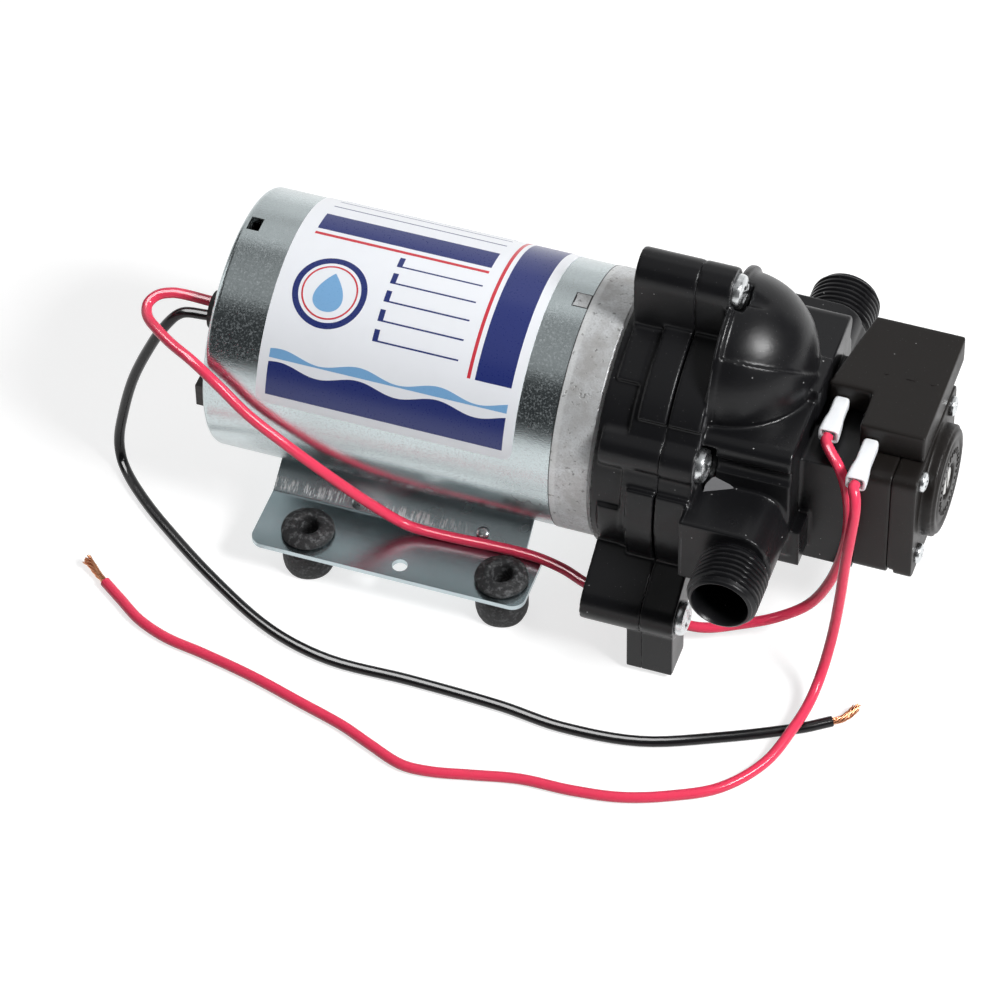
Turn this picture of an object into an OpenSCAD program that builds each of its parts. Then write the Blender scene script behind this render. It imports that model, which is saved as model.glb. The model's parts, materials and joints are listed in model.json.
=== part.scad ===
// Caravan water pump: low-voltage motor, three-chamber diaphragm head and pressure switch.
// Sizes are in millimetres. +X runs from the motor's rear end to the pump head, +Z is up.
// The origin is the centre of the four foot holes, on the plane that the feet stand on.

/* [Motor] */
// Outside diameter of the motor can
can_d = 77.6; // [74:0.2:80]
// Length of the motor can
can_len = 106; // [102:0.5:114]
// Wall thickness of the motor can
can_wall = 2.2; // [1.6:0.1:2.6]
// Rounding of the can's rear edge
can_edge_r = 2; // [1:0.5:4]
// Height of the motor axis above the ground
axis_z = 52.5; // [50:0.5:58]
// Distance from the can's rear face to the middle of the feet
rear_to_feet = 63; // [58:0.5:68]
// Length of the label
label_len = 78; // [70:0.5:82]
// Distance from the can's rear face to the label
label_gap = 16.8; // [12:0.1:20]
// Shaft diameter
shaft_d = 8; // [7:0.5:9]
// Radial thickness of the magnets
magnet_t = 3.9; // [3:0.1:5]
// Air gap between magnets and armature
air_gap = 0.8; // [0.5:0.1:1.2]
// Number of armature slots
slot_count = 10; // [8:1:12]
// Commutator diameter
commutator_d = 22; // [20:0.5:24]
// Brush width and height
brush_w = 6; // [5:0.5:7]

/* [Front casting and bearing] */
// Length of the cast ring that shows between can and head
casting_len = 13; // [11:0.5:16]
// Ball bearing outside diameter
bearing_d = 22; // [21:0.5:24]
// Ball bearing width
bearing_w = 7; // [6:0.5:8]
// Bearing ball diameter
ball_d = 3.8; // [3.2:0.1:4]
// Number of bearing balls
ball_count = 8; // [7:1:9]

/* [Pump head] */
// Diameter of the round housing body
core_d = 87; // [84:0.5:92]
// Length of the lower housing
lower_len = 20; // [19:0.5:24]
// Length of the upper housing's flange
flange_len = 10; // [9.5:0.5:13]
// Radius of the circle of corner screws
corner_r = 57; // [55:0.5:60]
// Radius of the circle of mid-side screws
mid_r = 38; // [37.5:0.1:39]
// Radius of the screw bosses
boss_r = 6.7; // [6.2:0.1:7.5]
// Screw head diameter
screw_head_d = 10.2; // [9:0.2:11]
// Screw shank diameter
screw_d = 4.1; // [3.6:0.1:4.5]
// Radius of the top dome
dome_r = 24.5; // [22:0.5:26]
// Height of the dome centre above the motor axis
dome_z = 31.5; // [29:0.5:33]

/* [Water ports] */
// Distance over the two port mouths
port_span = 128.2; // [120:0.2:134]
// Port axis ahead of the parting plane
port_offset = 26.2; // [25:0.2:29]
// Port axis below the motor axis
port_drop = 1.5; // [0:0.5:4]
// Thread crest diameter
thread_d = 20.9; // [20:0.1:21.4]
// Thread pitch
thread_pitch = 1.814; // [1.6:0.001:2]
// Number of thread crests
thread_count = 8; // [6:1:9]
// Port bore diameter
port_bore_d = 16; // [14:0.2:16.6]
// Diameter of the port's neck
port_neck_d = 20.6; // [20:0.2:24]
// Height of the port block above the port axis
port_block_up = 12.4; // [12:0.2:14]
// Width of the body behind the port blocks
body_w = 62; // [58:0.5:64]
// Length of that body from the screw seats
body_len = 26.4; // [24:0.2:27]
// Height of that body above the motor axis
body_up = 27.5; // [26:0.5:29]

/* [Diaphragm drive] */
// Tilt of the wobble plate
tilt = 3.5; // [2.5:0.1:4]
// Radius of the circle of pistons
piston_r = 19; // [18:0.2:19.4]
// Piston diameter
piston_d = 22.4; // [20:0.2:23]
// Diaphragm thickness
dia_t = 1.6; // [1.2:0.1:1.8]
// Diameter of the tilted cam seat
cam_d = 18; // [17:0.5:19]
// Thickness of the valve plate
valve_t = 8.4; // [8.2:0.1:8.8]

/* [Pressure switch] */
// Width of the switch block
block_w = 43; // [40:0.5:46]
// Height of the block above the motor axis
block_up = 18.5; // [17.5:0.5:20]
// Length of the upper housing's middle block, from the screw seats
middle_len = 43; // [41:0.5:46]
// Length of the switch housing
switch_len = 10; // [9.5:0.5:12]
// Length of the switch cover
cover_len = 7.4; // [6.5:0.2:9]
// Diameter of the round cover disc
disc_d = 33; // [30:0.5:36]
// Height of the round cover disc
disc_h = 4.4; // [3.6:0.2:5.5]
// Height of the snap switch case
case_h = 10; // [9:0.5:11]

/* [Base bracket] */
// Bracket length
bracket_len = 84.5; // [80:0.5:90]
// Bracket width over both flanges
bracket_w = 104; // [100:0.5:110]
// Sheet thickness
sheet_t = 1.6; // [1.2:0.1:2]
// Foot spacing along X
foot_dx = 60; // [56:0.5:62]
// Foot spacing along Y
foot_dy = 86; // [82:0.5:88]
// Foot hole diameter
foot_hole_d = 6.4; // [5.5:0.1:7]
// Foot outside diameter
foot_d = 16; // [15:0.2:17.4]

/* [Leads] */
// Lead diameter over the insulation
lead_d = 3.2; // [2.8:0.1:3.4]
// Diameter of the bare strands
strand_d = 2; // [1.6:0.1:2.2]

/* [Hidden] */
$fn = 72;
// Clearance of running fits and of seats
run_gap = 0.05;
seat_gap = 0.03;

shaft_r = shaft_d / 2;
can_r = can_d / 2;
can_in = can_r - can_wall;
core_r = core_d / 2;

// Stations along the motor axis
x_rear = -rear_to_feet;
x_can = x_rear + can_len;
x_cast = x_can + casting_len;
x_part = x_cast + lower_len;
x_seat = x_part + flange_len;
x_block = x_seat + middle_len;
x_switch = x_block + switch_len;
x_cover = x_switch + cover_len;
x_disc = x_cover + disc_h;
port_x = x_part + port_offset;

// Label on the can
label_x = x_rear + label_gap;
label_wrap = 158;

// Motor inside
magnet_in = can_in - 0.1 - magnet_t;
core_out = magnet_in - air_gap;
x_core0 = x_rear + 29;
x_core1 = x_can - 24;
comm_r = commutator_d / 2;
bush_r = shaft_r + 4;
brush_x = x_rear + 13;
brush_in = comm_r + 0.06;
brush_len = 11;
holder_end = 31;
grommet_r = 5.6;
// The lead grommet sits inside the can's rear edge
lead_angle = 133.8;
lead_inset = 12.5;
lead_r = can_r - lead_inset;
// A tab of the brush plate stands out through the rear face
tab_y = -28;
tab_z = -5;
tab_half = [3, 4];
tab_out = 5;
lead_y = lead_r * cos(lead_angle);
lead_z = lead_r * sin(lead_angle);

// Bright bevel at the casting's head end
casting_bevel = 1.4;

// Bearing
bearing_r = bearing_d / 2;
bearing_x0 = x_can + 1;
bearing_x1 = bearing_x0 + bearing_w;
ball_r = ball_d / 2;
ball_mid = (bearing_r + shaft_r) / 2;

// Head
corner_t = [0, 120, 240];
mid_t = [60, 180, 300];
wall_in = 34.6;
screw_r = screw_d / 2;
hole_r = screw_r + 0.2;
pilot_r = screw_r + 0.05;
head_r = screw_head_d / 2;
// Room for a screwdriver in front of a head
driver_r = 3.4;
// Centre that the wobble plate rocks about, and the shaft's end in the cam behind it
x_nut = x_part - dia_t / 2;
shaft_end = x_nut - 10.2;
valve_r = wall_in - 0.1;
piston_rad = piston_d / 2;
chamber_r = piston_rad + 2.8;
chamber_h = dia_t / 2 + 4.9;
cam_r = cam_d / 2;
bush_w_r = cam_r + 2.5;
hub_r = bush_w_r + 3;
cast_screw_r = 29;
// The flange is thicker round the corner screws than beside the mid-side ones
pad_r = core_r + 0.6;
rim_r = core_r - 1.3;
pad_half = 46;
step_half = 33;
// The pads stand back a little from the joint faces
pad_back = 0.2;
leg_in = 41;
leg_out = 53;

// Ports
port_z = -port_drop;
port_half = port_span / 2;
thread_len = thread_count * thread_pitch + 0.9;
thread_r = thread_d / 2;
thread_root = thread_r - 1.15;
neck_y = port_half - thread_len;
neck_r = port_neck_d / 2;
bore_r = port_bore_d / 2;
valve_seat_y = 20;
block_edge_r = 8;
body_edge_r = 4;
body_down = 12;
retainer_y = 33;

// Switch
half_w = block_w / 2;
sw_dia_r = 13;
case_z = axis_z + block_up + seat_gap;
case_x1 = x_cover - 0.3;
case_len = 32.4;
case_x0 = case_x1 - case_len;
// Back edge of the case, its slanted corner and the step between its two terminals
case_back = 30.4;
case_slant = 5.8;
case_step = 13.2;
term_z = case_z + 4;
term_x = [case_x0 + 4.6, case_x0 + 17];
term_face = [0.6, -12.6];
sleeve_end = [-14.2, -29.4];
// Half sizes of a terminal blade and of its sleeve
blade_w = 1.6;
blade_t = 0.4;
sleeve_w = 2.35;
sleeve_t = 2;
hood_w = 2.75;
hood_t = 2.4;
screw_pos = half_w - 6;
screw_up = block_up - 4;

// Bracket and feet
flange_z = axis_z - can_r - seat_gap;
foot_r = foot_d / 2;
foot_top = flange_z + 3.5;
groove_r = foot_r - 2.8;
x_br0 = -bracket_len / 2 - 3.25;
saddle_half = 33.5;
bend_y = 30;
bend_r = 2.4;
weld_dx = 19.4;
weld_y = 28.4;
weld_r = 1.5;
// Height of the weld marks from the motor axis, just inside the web's upper face
weld_z = -37.9;
flange_corner_r = 4;

// Leads: points by hand, in millimetres, in the order that each lead runs
link_pts = [
  [x_rear - 3, -17, 73.2], [x_rear - 5, -17, 73.2], [-75, -17, 73.4], [-79, -17.5, 73.4],
  [-83, -19, 72.6], [-85, -22, 71.2],
  [-83.5, -26, 70.4], [-79, -30, 70.4], [-73, -34, 70.2], [-65, -38, 69.5], [-56, -40.4, 64],
  [-47, -41.6, 56.2], [-35, -41.6, 47], [-23, -40, 36.4], [-12, -37, 25.4], [-2, -34.4, 17.2],
  [8, -33.6, 15.6], [23, -33, 15.6], [36, -33, 15.6], [46, -34.8, 15.4], [54, -37.4, 14.6],
  [62, -38, 12.8], [72, -38, 10.2], [82, -37.8, 7.8], [90, -36.4, 6.8], [99, -32.6, 7.4],
  [109, -28.6, 9.6], [118, -26.2, 16], [124, -25.8, 28], [127.4, -25.8, 42], [128.4, -25.6, 55],
  [127.2, -24.8, 66], [124.4, -23, 72.6], [120.2, -19.2, 75.2],
  [term_x[0], sleeve_end[0] - 2, term_z], [term_x[0], sleeve_end[0], term_z]
];
red_pts = [
  [term_x[1], sleeve_end[1], term_z], [term_x[1], sleeve_end[1] - 1.6, term_z],
  [131.8, -33, 73.4], [132.4, -34.8, 70], [132, -36, 62],
  [131, -37, 50], [130.2, -38, 36], [129, -40, 21], [127.6, -45, 9.6], [126.6, -53, 5.6],
  [125, -62.6, 5], [120.4, -76, 2.6], [111, -88, 1.7], [98, -95.6, 1.7], [85, -100.4, 1.7],
  [71, -102.4, 1.7], [56, -103, 1.7], [42, -106, 1.7], [31, -108.4, 1.7], [22, -108.6, 1.7],
  [11, -104.4, 1.7], [1, -100.2, 1.7], [-13, -96, 1.7], [-30, -91, 1.7], [-47, -87.2, 1.7],
  [-59, -85, 1.7], [-69, -81, 1.7], [-77, -75.4, 1.7], [-84, -70.4, 1.7]
];
red_bare = [[-84, -70.4, 1.7], [-86.8, -68.4, 1.7], [-90, -66, 2.4], [-92.4, -64.6, 3.4]];
black_pts = [
  [x_rear - 3, -19.6, 69.8], [x_rear - 5, -19.6, 69.8], [-75, -20.4, 69.2], [-80, -21.6, 63.6],
  [-86, -22, 52], [-92, -22, 37],
  [-96.4, -22, 20], [-98, -22.6, 9], [-96, -25.4, 2.8], [-88, -33.6, 1.7], [-75, -44.4, 1.7],
  [-53, -60, 1.7], [-31, -72.6, 1.7], [-11, -78, 1.7], [14, -78, 1.7], [42, -79, 1.7],
  [61, -81, 1.7], [84, -79, 1.7], [105, -70.6, 1.7], [126, -60, 1.7], [134, -54.6, 1.7]
];
black_bare = [[134, -54.6, 1.7], [136.4, -52.98, 1.7], [138.4, -50.2, 2.2], [139.6, -47.4, 3]];

// Shared shapes

module xcyl(x0, x1, r, y = 0, z = 0) {
  translate([x0, y, axis_z + z]) rotate([0, 90, 0]) cylinder(h = x1 - x0, r = r);
}

module xring(x0, x1, r_out, r_in, y = 0, z = 0) {
  difference() {
    xcyl(x0, x1, r_out, y, z);
    xcyl(x0 - 1, x1 + 1, r_in, y, z);
  }
}

module ycyl(y0, y1, r, x, z) {
  translate([x, y0, axis_z + z]) rotate([-90, 0, 0]) cylinder(h = y1 - y0, r = r);
}

module block(x0, x1, y0, y1, z0, z1) {
  translate([x0, y0, z0]) cube([x1 - x0, y1 - y0, z1 - z0]);
}

// Children drawn above the motor axis, turned about it by t towards +Y
module about_axis(t) {
  translate([0, 0, axis_z]) rotate([-t, 0, 0]) children();
}

// Children drawn about the wobble centre, in the tilted frame
module tilted() {
  translate([x_nut, 0, axis_z]) rotate([0, tilt, 0]) children();
}

// Cylinder along X in a local frame, with its axis at height z
module lcyl(x0, x1, r, z = 0) {
  translate([x0, 0, z]) rotate([0, 90, 0]) cylinder(h = x1 - x0, r = r);
}

function unit(v) = v / norm(v);
function last(p) = len(p) - 1;
function last_of(p) = p[last(p)];
function heading(p, i) = unit(p[min(i + 1, last(p))] - p[max(i - 1, 0)]);
function side_of(t) = unit(cross(t, abs(t[2]) > 0.8 ? [1, 0, 0] : [0, 0, 1]));
function carried(prev, t) = unit(prev - t * (prev * t));
function sides(p, i, acc) = i > last(p) ? acc
  : sides(p, i + 1, concat(acc, [carried(acc[i - 1], heading(p, i))]));
function ring_at(c, t, s, r, n) =
  [for (k = [0 : n - 1]) c + r * (cos(360 * k / n) * s + sin(360 * k / n) * cross(t, s))];

// A round tube with flat ends along a list of points
module swept_tube(p, r, n) {
  s = sides(p, 1, [side_of(heading(p, 0))]);
  m = len(p);
  verts = [for (i = [0 : m - 1]) each ring_at(p[i], heading(p, i), s[i], r, n)];
  ends = [[for (k = [0 : n - 1]) k], [for (k = [0 : n - 1]) m * n - 1 - k]];
  walls = [for (i = [0 : m - 2]) for (k = [0 : n - 1])
    [i * n + k, (i + 1) * n + k, (i + 1) * n + (k + 1) % n, i * n + (k + 1) % n]];
  polyhedron(points = verts, faces = concat(ends, walls));
}

// A coil spring along +Z from 0 to h
module coil(r, h, wire_r, turns) {
  steps = 9;
  pts = [for (i = [0 : turns * steps])
    [r * cos(360 * i / steps), r * sin(360 * i / steps),
     wire_r + (h - 2 * wire_r) * i / (turns * steps)]];
  swept_tube(pts, wire_r, 5);
}

// Motor

module can_profile(r, edge, y0, y1) {
  translate([0, y0 + edge]) square([r, y1 - y0 - edge]);
  translate([0, y0]) square([r - edge, edge + 0.01]);
  translate([r - edge, y0 + edge]) circle(edge);
}

module motor_can() {
  color("#b9c2c9") difference() {
    translate([x_rear, 0, axis_z]) rotate([0, 90, 0]) rotate_extrude() difference() {
      union() {
        can_profile(can_r, can_edge_r, 0, can_len);
        translate([0, -2]) square([bush_r + 3, 3]);
      }
      can_profile(can_in, max(can_edge_r - can_wall, 0.4), can_wall, can_len + 1);
      translate([0, -1]) square([bush_r, can_wall + 2]);
    }
    block(x_rear + 2.2, x_rear + 6, -2.6, 2.6, axis_z + can_in - 1, axis_z + can_r + 1);
    block(x_can - 4.6, x_can + 1, -2.6, 2.6, axis_z + can_in - 1, axis_z + can_r + 1);
    xcyl(x_rear - 1, x_rear + can_wall + 1, grommet_r - 1.4, lead_y, lead_z);
    block(x_rear - 1, x_rear + can_wall + 1, tab_y - tab_half[0] - 0.2, tab_y + tab_half[0] + 0.2,
          axis_z + tab_z - tab_half[1] - 0.2, axis_z + tab_z + tab_half[1] + 0.2);
  }
}

module rating_label() {
  color("#f2f3f5") translate([label_x, 0, axis_z]) rotate([0, 90, 0])
    rotate([0, 0, 101]) rotate_extrude(angle = label_wrap)
      translate([can_r + 0.02, 0]) square([0.18, label_len]);
}

module magnets() {
  color("#3a3a3d") for (t = [25, 205])
    translate([x_rear + 22, 0, axis_z]) rotate([0, 90, 0])
      rotate([0, 0, t]) rotate_extrude(angle = 130)
        translate([magnet_in, 0]) square([magnet_t, can_len - 36]);
}

module rear_bush() {
  color("#a8742f") xring(x_rear - 1 + seat_gap, x_rear + 5, bush_r - seat_gap, shaft_r + run_gap);
}

module brush_plate() {
  color("#2f2a26") difference() {
    union() {
      xcyl(x_rear + 6.2, x_rear + 7.6, can_in - 0.05);
      block(x_rear - tab_out, x_rear + 7, tab_y - tab_half[0], tab_y + tab_half[0],
            axis_z + tab_z - tab_half[1], axis_z + tab_z + tab_half[1]);
    }
    xcyl(x_rear + 5, x_rear + 9, bush_r + 1);
    xcyl(x_rear + 5, x_rear + 9, grommet_r + 0.4, lead_y, lead_z);
  }
}

module holder(s) {
  w = brush_w / 2;
  y_out = holder_end + 1;
  mirror([0, s > 0 ? 0 : 1, 0]) difference() {
    block(x_rear + 7.6 + seat_gap, brush_x + w + 1, 14, y_out, axis_z - w - 1.2, axis_z + w + 1.2);
    block(brush_x - w - 0.06, brush_x + w + 0.06, 13, holder_end, axis_z - w - 0.06, axis_z + w + 0.06);
  }
}

module brush_holders() {
  color("#c9a24a") {
    holder(1);
    holder(-1);
  }
}

module brush(s) {
  w = brush_w / 2;
  mirror([0, s > 0 ? 0 : 1, 0]) difference() {
    block(brush_x - w, brush_x + w, brush_in - 1.2, brush_in + brush_len, axis_z - w, axis_z + w);
    xcyl(brush_x - 10, brush_x + 10, brush_in);
  }
}

module brush_front() { color("#26262a") brush(-1); }

module brush_back() { color("#26262a") brush(1); }

module brush_spring(s) {
  y0 = brush_in + brush_len + 0.05;
  mirror([0, s > 0 ? 0 : 1, 0]) translate([brush_x, y0, axis_z]) rotate([-90, 0, 0])
    coil(2.2, holder_end - y0 - 0.05, 0.35, 5);
}

module brush_spring_front() { color("#d0d0d0") brush_spring(-1); }

module brush_spring_back() { color("#d0d0d0") brush_spring(1); }

module wire_grommet() {
  color("#4a4d4c") {
    xcyl(x_rear - 3, x_rear - seat_gap, grommet_r, lead_y, lead_z);
    xcyl(x_rear - 1, x_rear + can_wall + 1, grommet_r - 1.4 - seat_gap, lead_y, lead_z);
    xcyl(x_rear + can_wall + seat_gap, x_rear + can_wall + 1.6, grommet_r, lead_y, lead_z);
  }
}

// Casting and bearing

module front_casting() {
  color("#9a9a96") difference() {
    union() {
      xcyl(x_can, x_cast - casting_bevel, can_r + 0.2);
      translate([x_cast - casting_bevel, 0, axis_z]) rotate([0, 90, 0])
        cylinder(h = casting_bevel, r1 = can_r + 0.2, r2 = can_r - 0.7);
      xcyl(x_can - 5.5, x_can + 1, can_in - seat_gap);
      block(x_can - 4.5, x_can + 1, -2.5, 2.5, axis_z + can_in - 2, axis_z + can_r);
    }
    xring(x_can - 6, x_can + 4, can_in - 3.5, bearing_r + 4);
    xcyl(x_can - 6, x_can - 1, can_in - 3.5);
    difference() {
      xring(x_can + 8, x_cast + 1, can_in - 3.5, bearing_r + 4);
      for (t = mid_t) about_axis(t) lcyl(x_can, x_cast + 2, 4.6, cast_screw_r);
    }
    xcyl(bearing_x1 + 2, x_cast + 1, bearing_r + 5);
    xcyl(bearing_x0, bearing_x1, bearing_r + seat_gap);
    xcyl(x_can - 6, bearing_x0 + 1, bearing_r + seat_gap);
    xcyl(x_can, x_cast + 1, bearing_r - 1.5);
    for (t = mid_t) about_axis(t) lcyl(x_cast - 9, x_cast + 1, 1.75, cast_screw_r);
  }
}

module race_groove() {
  translate([ball_mid, bearing_w / 2]) circle(ball_r + run_gap);
}

module bearing_outer() {
  color("#c3c7cc") translate([bearing_x0 + seat_gap, 0, axis_z]) rotate([0, 90, 0])
    rotate_extrude() difference() {
      translate([ball_mid + ball_r - 0.7, 0])
        square([bearing_r - ball_mid - ball_r + 0.7, bearing_w - 2 * seat_gap]);
      race_groove();
    }
}

module bearing_inner() {
  color("#c3c7cc") translate([bearing_x0 + seat_gap, 0, axis_z]) rotate([0, 90, 0])
    rotate_extrude() difference() {
      translate([shaft_r + seat_gap, 0])
        square([ball_mid - ball_r + 0.7 - shaft_r, bearing_w - 2 * seat_gap]);
      race_groove();
    }
}

module bearing_balls() {
  color("#d8dade") for (i = [0 : ball_count - 1]) about_axis(360 * i / ball_count)
    translate([bearing_x0 + seat_gap + bearing_w / 2, 0, ball_mid]) sphere(ball_r);
}

// Rotor

module motor_shaft() {
  color("#c8ccd2") xcyl(x_rear - 0.6, shaft_end, shaft_r);
}

module armature_core() {
  color("#6f6a66") difference() {
    xcyl(x_core0, x_core1, core_out);
    xcyl(x_core0 - 1, x_core1 + 1, shaft_r + seat_gap);
    for (i = [0 : slot_count - 1]) about_axis(360 * i / slot_count) {
      block(x_core0 - 1, x_core1 + 1, -2.6, 2.6, 14, core_out - 3);
      block(x_core0 - 1, x_core1 + 1, -1.2, 1.2, 14, core_out + 1);
    }
  }
}

module armature_windings() {
  r_out = core_out - 3.4;
  color("#b5632a") {
    for (i = [0 : slot_count - 1]) about_axis(360 * i / slot_count)
      block(x_core0 - 1, x_core1 + 1, -2.4, 2.4, 14.4, r_out);
    xring(x_core0 - 9, x_core0 - 0.3, r_out, shaft_r + 3);
    xring(x_core1 + 0.3, x_core1 + 8, r_out, shaft_r + 3);
  }
}

module commutator() {
  color("#b87333") difference() {
    xcyl(brush_x - 5, brush_x + 5, comm_r);
    xcyl(brush_x - 6, brush_x + 6, shaft_r + seat_gap);
    for (i = [0 : slot_count - 1]) about_axis(360 * i / slot_count + 9)
      block(brush_x - 6, brush_x + 6, -0.3, 0.3, comm_r - 1.2, comm_r + 1);
  }
}

module thrust_washer() {
  color("#e6e2d3") xring(x_rear + 5.1, x_rear + 7.9, bush_r - 1, shaft_r + seat_gap);
}

module cam_hub() {
  color("#8f9499") difference() {
    union() {
      tilted() lcyl(-17, -8.2, cam_r);
      tilted() lcyl(-19, -16.6, cam_r + 1.8);
      xcyl(bearing_x1 + 0.2, x_nut - 17.5, shaft_r + 2);
    }
    xcyl(x_can, shaft_end + 0.3, shaft_r + seat_gap);
  }
}

// Base bracket and feet

// Half of the sheet's outline from the middle outwards, at the distance d outside the can
function saddle_arc(d) = [for (i = [0 : 16]) let (t = saddle_half * i / 16)
  [(can_r + seat_gap + d) * sin(t), -(can_r + seat_gap + d) * cos(t)]];
// Slope of the web between the saddle's edge and the bend, and the rounded bend itself
function web_slope(d) = let (s = last_of(saddle_arc(d)), y = d > 0 ? bend_y : bend_y + 0.8)
  atan2(s[1] + can_r + seat_gap + d, y - s[0]);
function bend_arc(y, z, r, a) = [for (i = [0 : 6]) let (t = 270 - a + a * i / 6)
  [y + r * tan(a / 2) + r * cos(t), z + r + r * sin(t)]];
function flipped(p) = [for (i = [last(p) : -1 : 1]) [-p[i][0], p[i][1]]];

module bracket_profile() {
  low = -can_r - seat_gap;
  w = bracket_w / 2;
  upper = concat(saddle_arc(0), bend_arc(bend_y + 0.8, low, bend_r, web_slope(0)), [[w, low]]);
  lower = concat(saddle_arc(sheet_t),
                 bend_arc(bend_y, low - sheet_t, bend_r + sheet_t, web_slope(sheet_t)),
                 [[w, low - sheet_t]]);
  outline = concat(flipped(upper), upper, [for (i = [last(lower) : -1 : 0]) lower[i]],
                   [for (i = [1 : last(lower)]) [-lower[i][0], lower[i][1]]]);
  polygon(outline);
}

// What lies outside a rounded corner at (x, y)
module outside_corner(x, y, sx, sy, r) {
  difference() {
    translate([x - sx * r / 2 + sx / 2, y - sy * r / 2 + sy / 2, axis_z / 2])
      cube([r + 1, r + 1, axis_z], center = true);
    translate([x - sx * r, y - sy * r, -1]) cylinder(h = axis_z + 2, r = r);
  }
}

module base_bracket() {
  x1 = x_br0 + bracket_len;
  color("#c9d2d6") difference() {
    translate([x_br0, 0, axis_z]) rotate([90, 0, 90]) linear_extrude(bracket_len) bracket_profile();
    block(x1 - 5.8, x1 + 1, -30.6, 30.6, 0, axis_z);
    for (sx = [-1, 1]) for (sy = [-1, 1])
      translate([sx * foot_dx / 2, sy * foot_dy / 2, 0]) cylinder(h = axis_z, r = groove_r + 0.1);
    for (sy = [-1, 1]) translate([0, sy * (bracket_w / 2 - 5), 0]) cylinder(h = axis_z, r = 2.3);
    for (sy = [-1, 1]) {
      outside_corner(x_br0, sy * bracket_w / 2, -1, sy, flange_corner_r);
      outside_corner(x1, sy * bracket_w / 2, 1, sy, flange_corner_r);
    }
  }
  // Weld marks on the web
  color("#c9d2d6") for (sx = [-1, 1]) for (sy = [-1, 1])
    translate([sx * weld_dx, sy * weld_y, axis_z + weld_z]) sphere(weld_r);
}

module foot(sx, sy) {
  color("#1b1b1d") translate([sx * foot_dx / 2, sy * foot_dy / 2, 0]) rotate_extrude()
    polygon([[foot_hole_d / 2, 0], [foot_r - 0.8, 0], [foot_r, 1.2], [foot_r, flange_z - sheet_t - 2],
             [foot_r - 1, flange_z - sheet_t - 0.02], [groove_r, flange_z - sheet_t - 0.02],
             [groove_r, flange_z + 0.02], [foot_r - 0.6, flange_z + 0.02], [foot_r, flange_z + 0.8],
             [foot_r - 0.4, flange_z + 2], [foot_r - 1.8, foot_top - 0.7], [foot_r - 3.2, foot_top],
             [foot_hole_d / 2, foot_top]]);
}

module foot_front_rear() { foot(-1, -1); }

module foot_front_head() { foot(1, -1); }

module foot_back_rear() { foot(-1, 1); }

module foot_back_head() { foot(1, 1); }

// Pump head housings

module lobes(x0, x1, r) {
  for (t = corner_t) about_axis(t) {
    lcyl(x0, x1, r, corner_r);
    block(x0, x1, -r, r, wall_in, corner_r);
  }
}

// Ring pieces centred on the corner screws, half degrees to each side
module pads(x0, x1, r, half) {
  for (t = corner_t) translate([x0, 0, axis_z]) rotate([0, 90, 0]) rotate([0, 0, 180 - t - half])
    rotate_extrude(angle = 2 * half) translate([wall_in + 2, 0]) square([r - wall_in - 2, x1 - x0]);
}

module legs(x0, x1) {
  for (s = [0, 1]) mirror([0, s, 0])
    block(x0, x1, leg_in, leg_out, 1.6, axis_z - corner_r / 2);
}

module screw_holes(x0, x1, r) {
  for (t = corner_t) about_axis(t) lcyl(x0, x1, r, corner_r);
  for (t = mid_t) about_axis(t) lcyl(x0, x1, r, mid_r);
}

module lower_housing() {
  band_r = core_r - 3;
  color("#17181b") difference() {
    union() {
      xcyl(x_cast, x_part, band_r);
      xcyl(x_cast + 9.5, x_part, rim_r);
      pads(x_cast + 11.5, x_part - pad_back, pad_r, pad_half);
      pads(x_cast + 2.5, x_cast + 12, rim_r - 0.2, step_half);
      lobes(x_cast + 2, x_part, boss_r);
      for (t = mid_t) about_axis(t) lcyl(x_cast + 2, x_part, boss_r - 0.4, mid_r);
      legs(x_part - 4.7, x_part);
    }
    xcyl(x_cast + 4, x_part + 1, wall_in);
    xcyl(x_cast - 1, x_cast + 5, hub_r + 2.6);
    xcyl(x_part - dia_t, x_part + 1, core_r - 2);
    screw_holes(x_part - 16, x_part + 1, pilot_r);
    for (t = mid_t) about_axis(t) lcyl(x_cast - 1, x_cast + 5, 1.85, cast_screw_r);
  }
}

module casting_screws() {
  color("#c4c8cc") for (t = mid_t) about_axis(t) {
    lcyl(x_cast + 4 + seat_gap, x_cast + 6, 3.2, cast_screw_r);
    lcyl(x_cast - 8, x_cast + 5, 1.7, cast_screw_r);
  }
}

module dome_body(r) {
  translate([x_seat, 0, axis_z + dome_z]) sphere(r);
}

module dome() {
  intersection() {
    union() {
      dome_body(dome_r);
      // The lower half stands a little proud of the upper half
      intersection() {
        dome_body(dome_r + 0.9);
        translate([x_seat, 0, axis_z + dome_z]) rotate([-42, 0, 0])
          translate([0, -60, -30]) cube([60, 60, 30]);
      }
      xcyl(x_seat - 1, x_seat + 1.4, dome_r + 1.4, 0, dome_z);
    }
    block(x_seat - 0.6, x_disc, -60, 60, 0, 3 * axis_z);
  }
}

// The crest next to the mouth is lower
function crest_r(i) = i == thread_count - 1 ? thread_r - 0.5 : thread_r;

module port_thread() {
  rotate_extrude() difference() {
    polygon(concat(
      [[0, -1], [thread_root, -1], [thread_root, 0.5]],
      [for (i = [0 : thread_count - 1]) each [
        [thread_root, 0.5 + i * thread_pitch], [crest_r(i), 0.5 + (i + 0.36) * thread_pitch],
        [crest_r(i), 0.5 + (i + 0.6) * thread_pitch], [thread_root, 0.5 + (i + 0.96) * thread_pitch]]],
      [[bore_r + 0.7, thread_len], [0, thread_len]]));
    // The mouth's inner edge is bevelled
    polygon([[0, thread_len + 1], [bore_r + 0.8, thread_len + 1], [bore_r, thread_len - 1.2],
             [0, thread_len - 1.2]]);
  }
}

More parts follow.
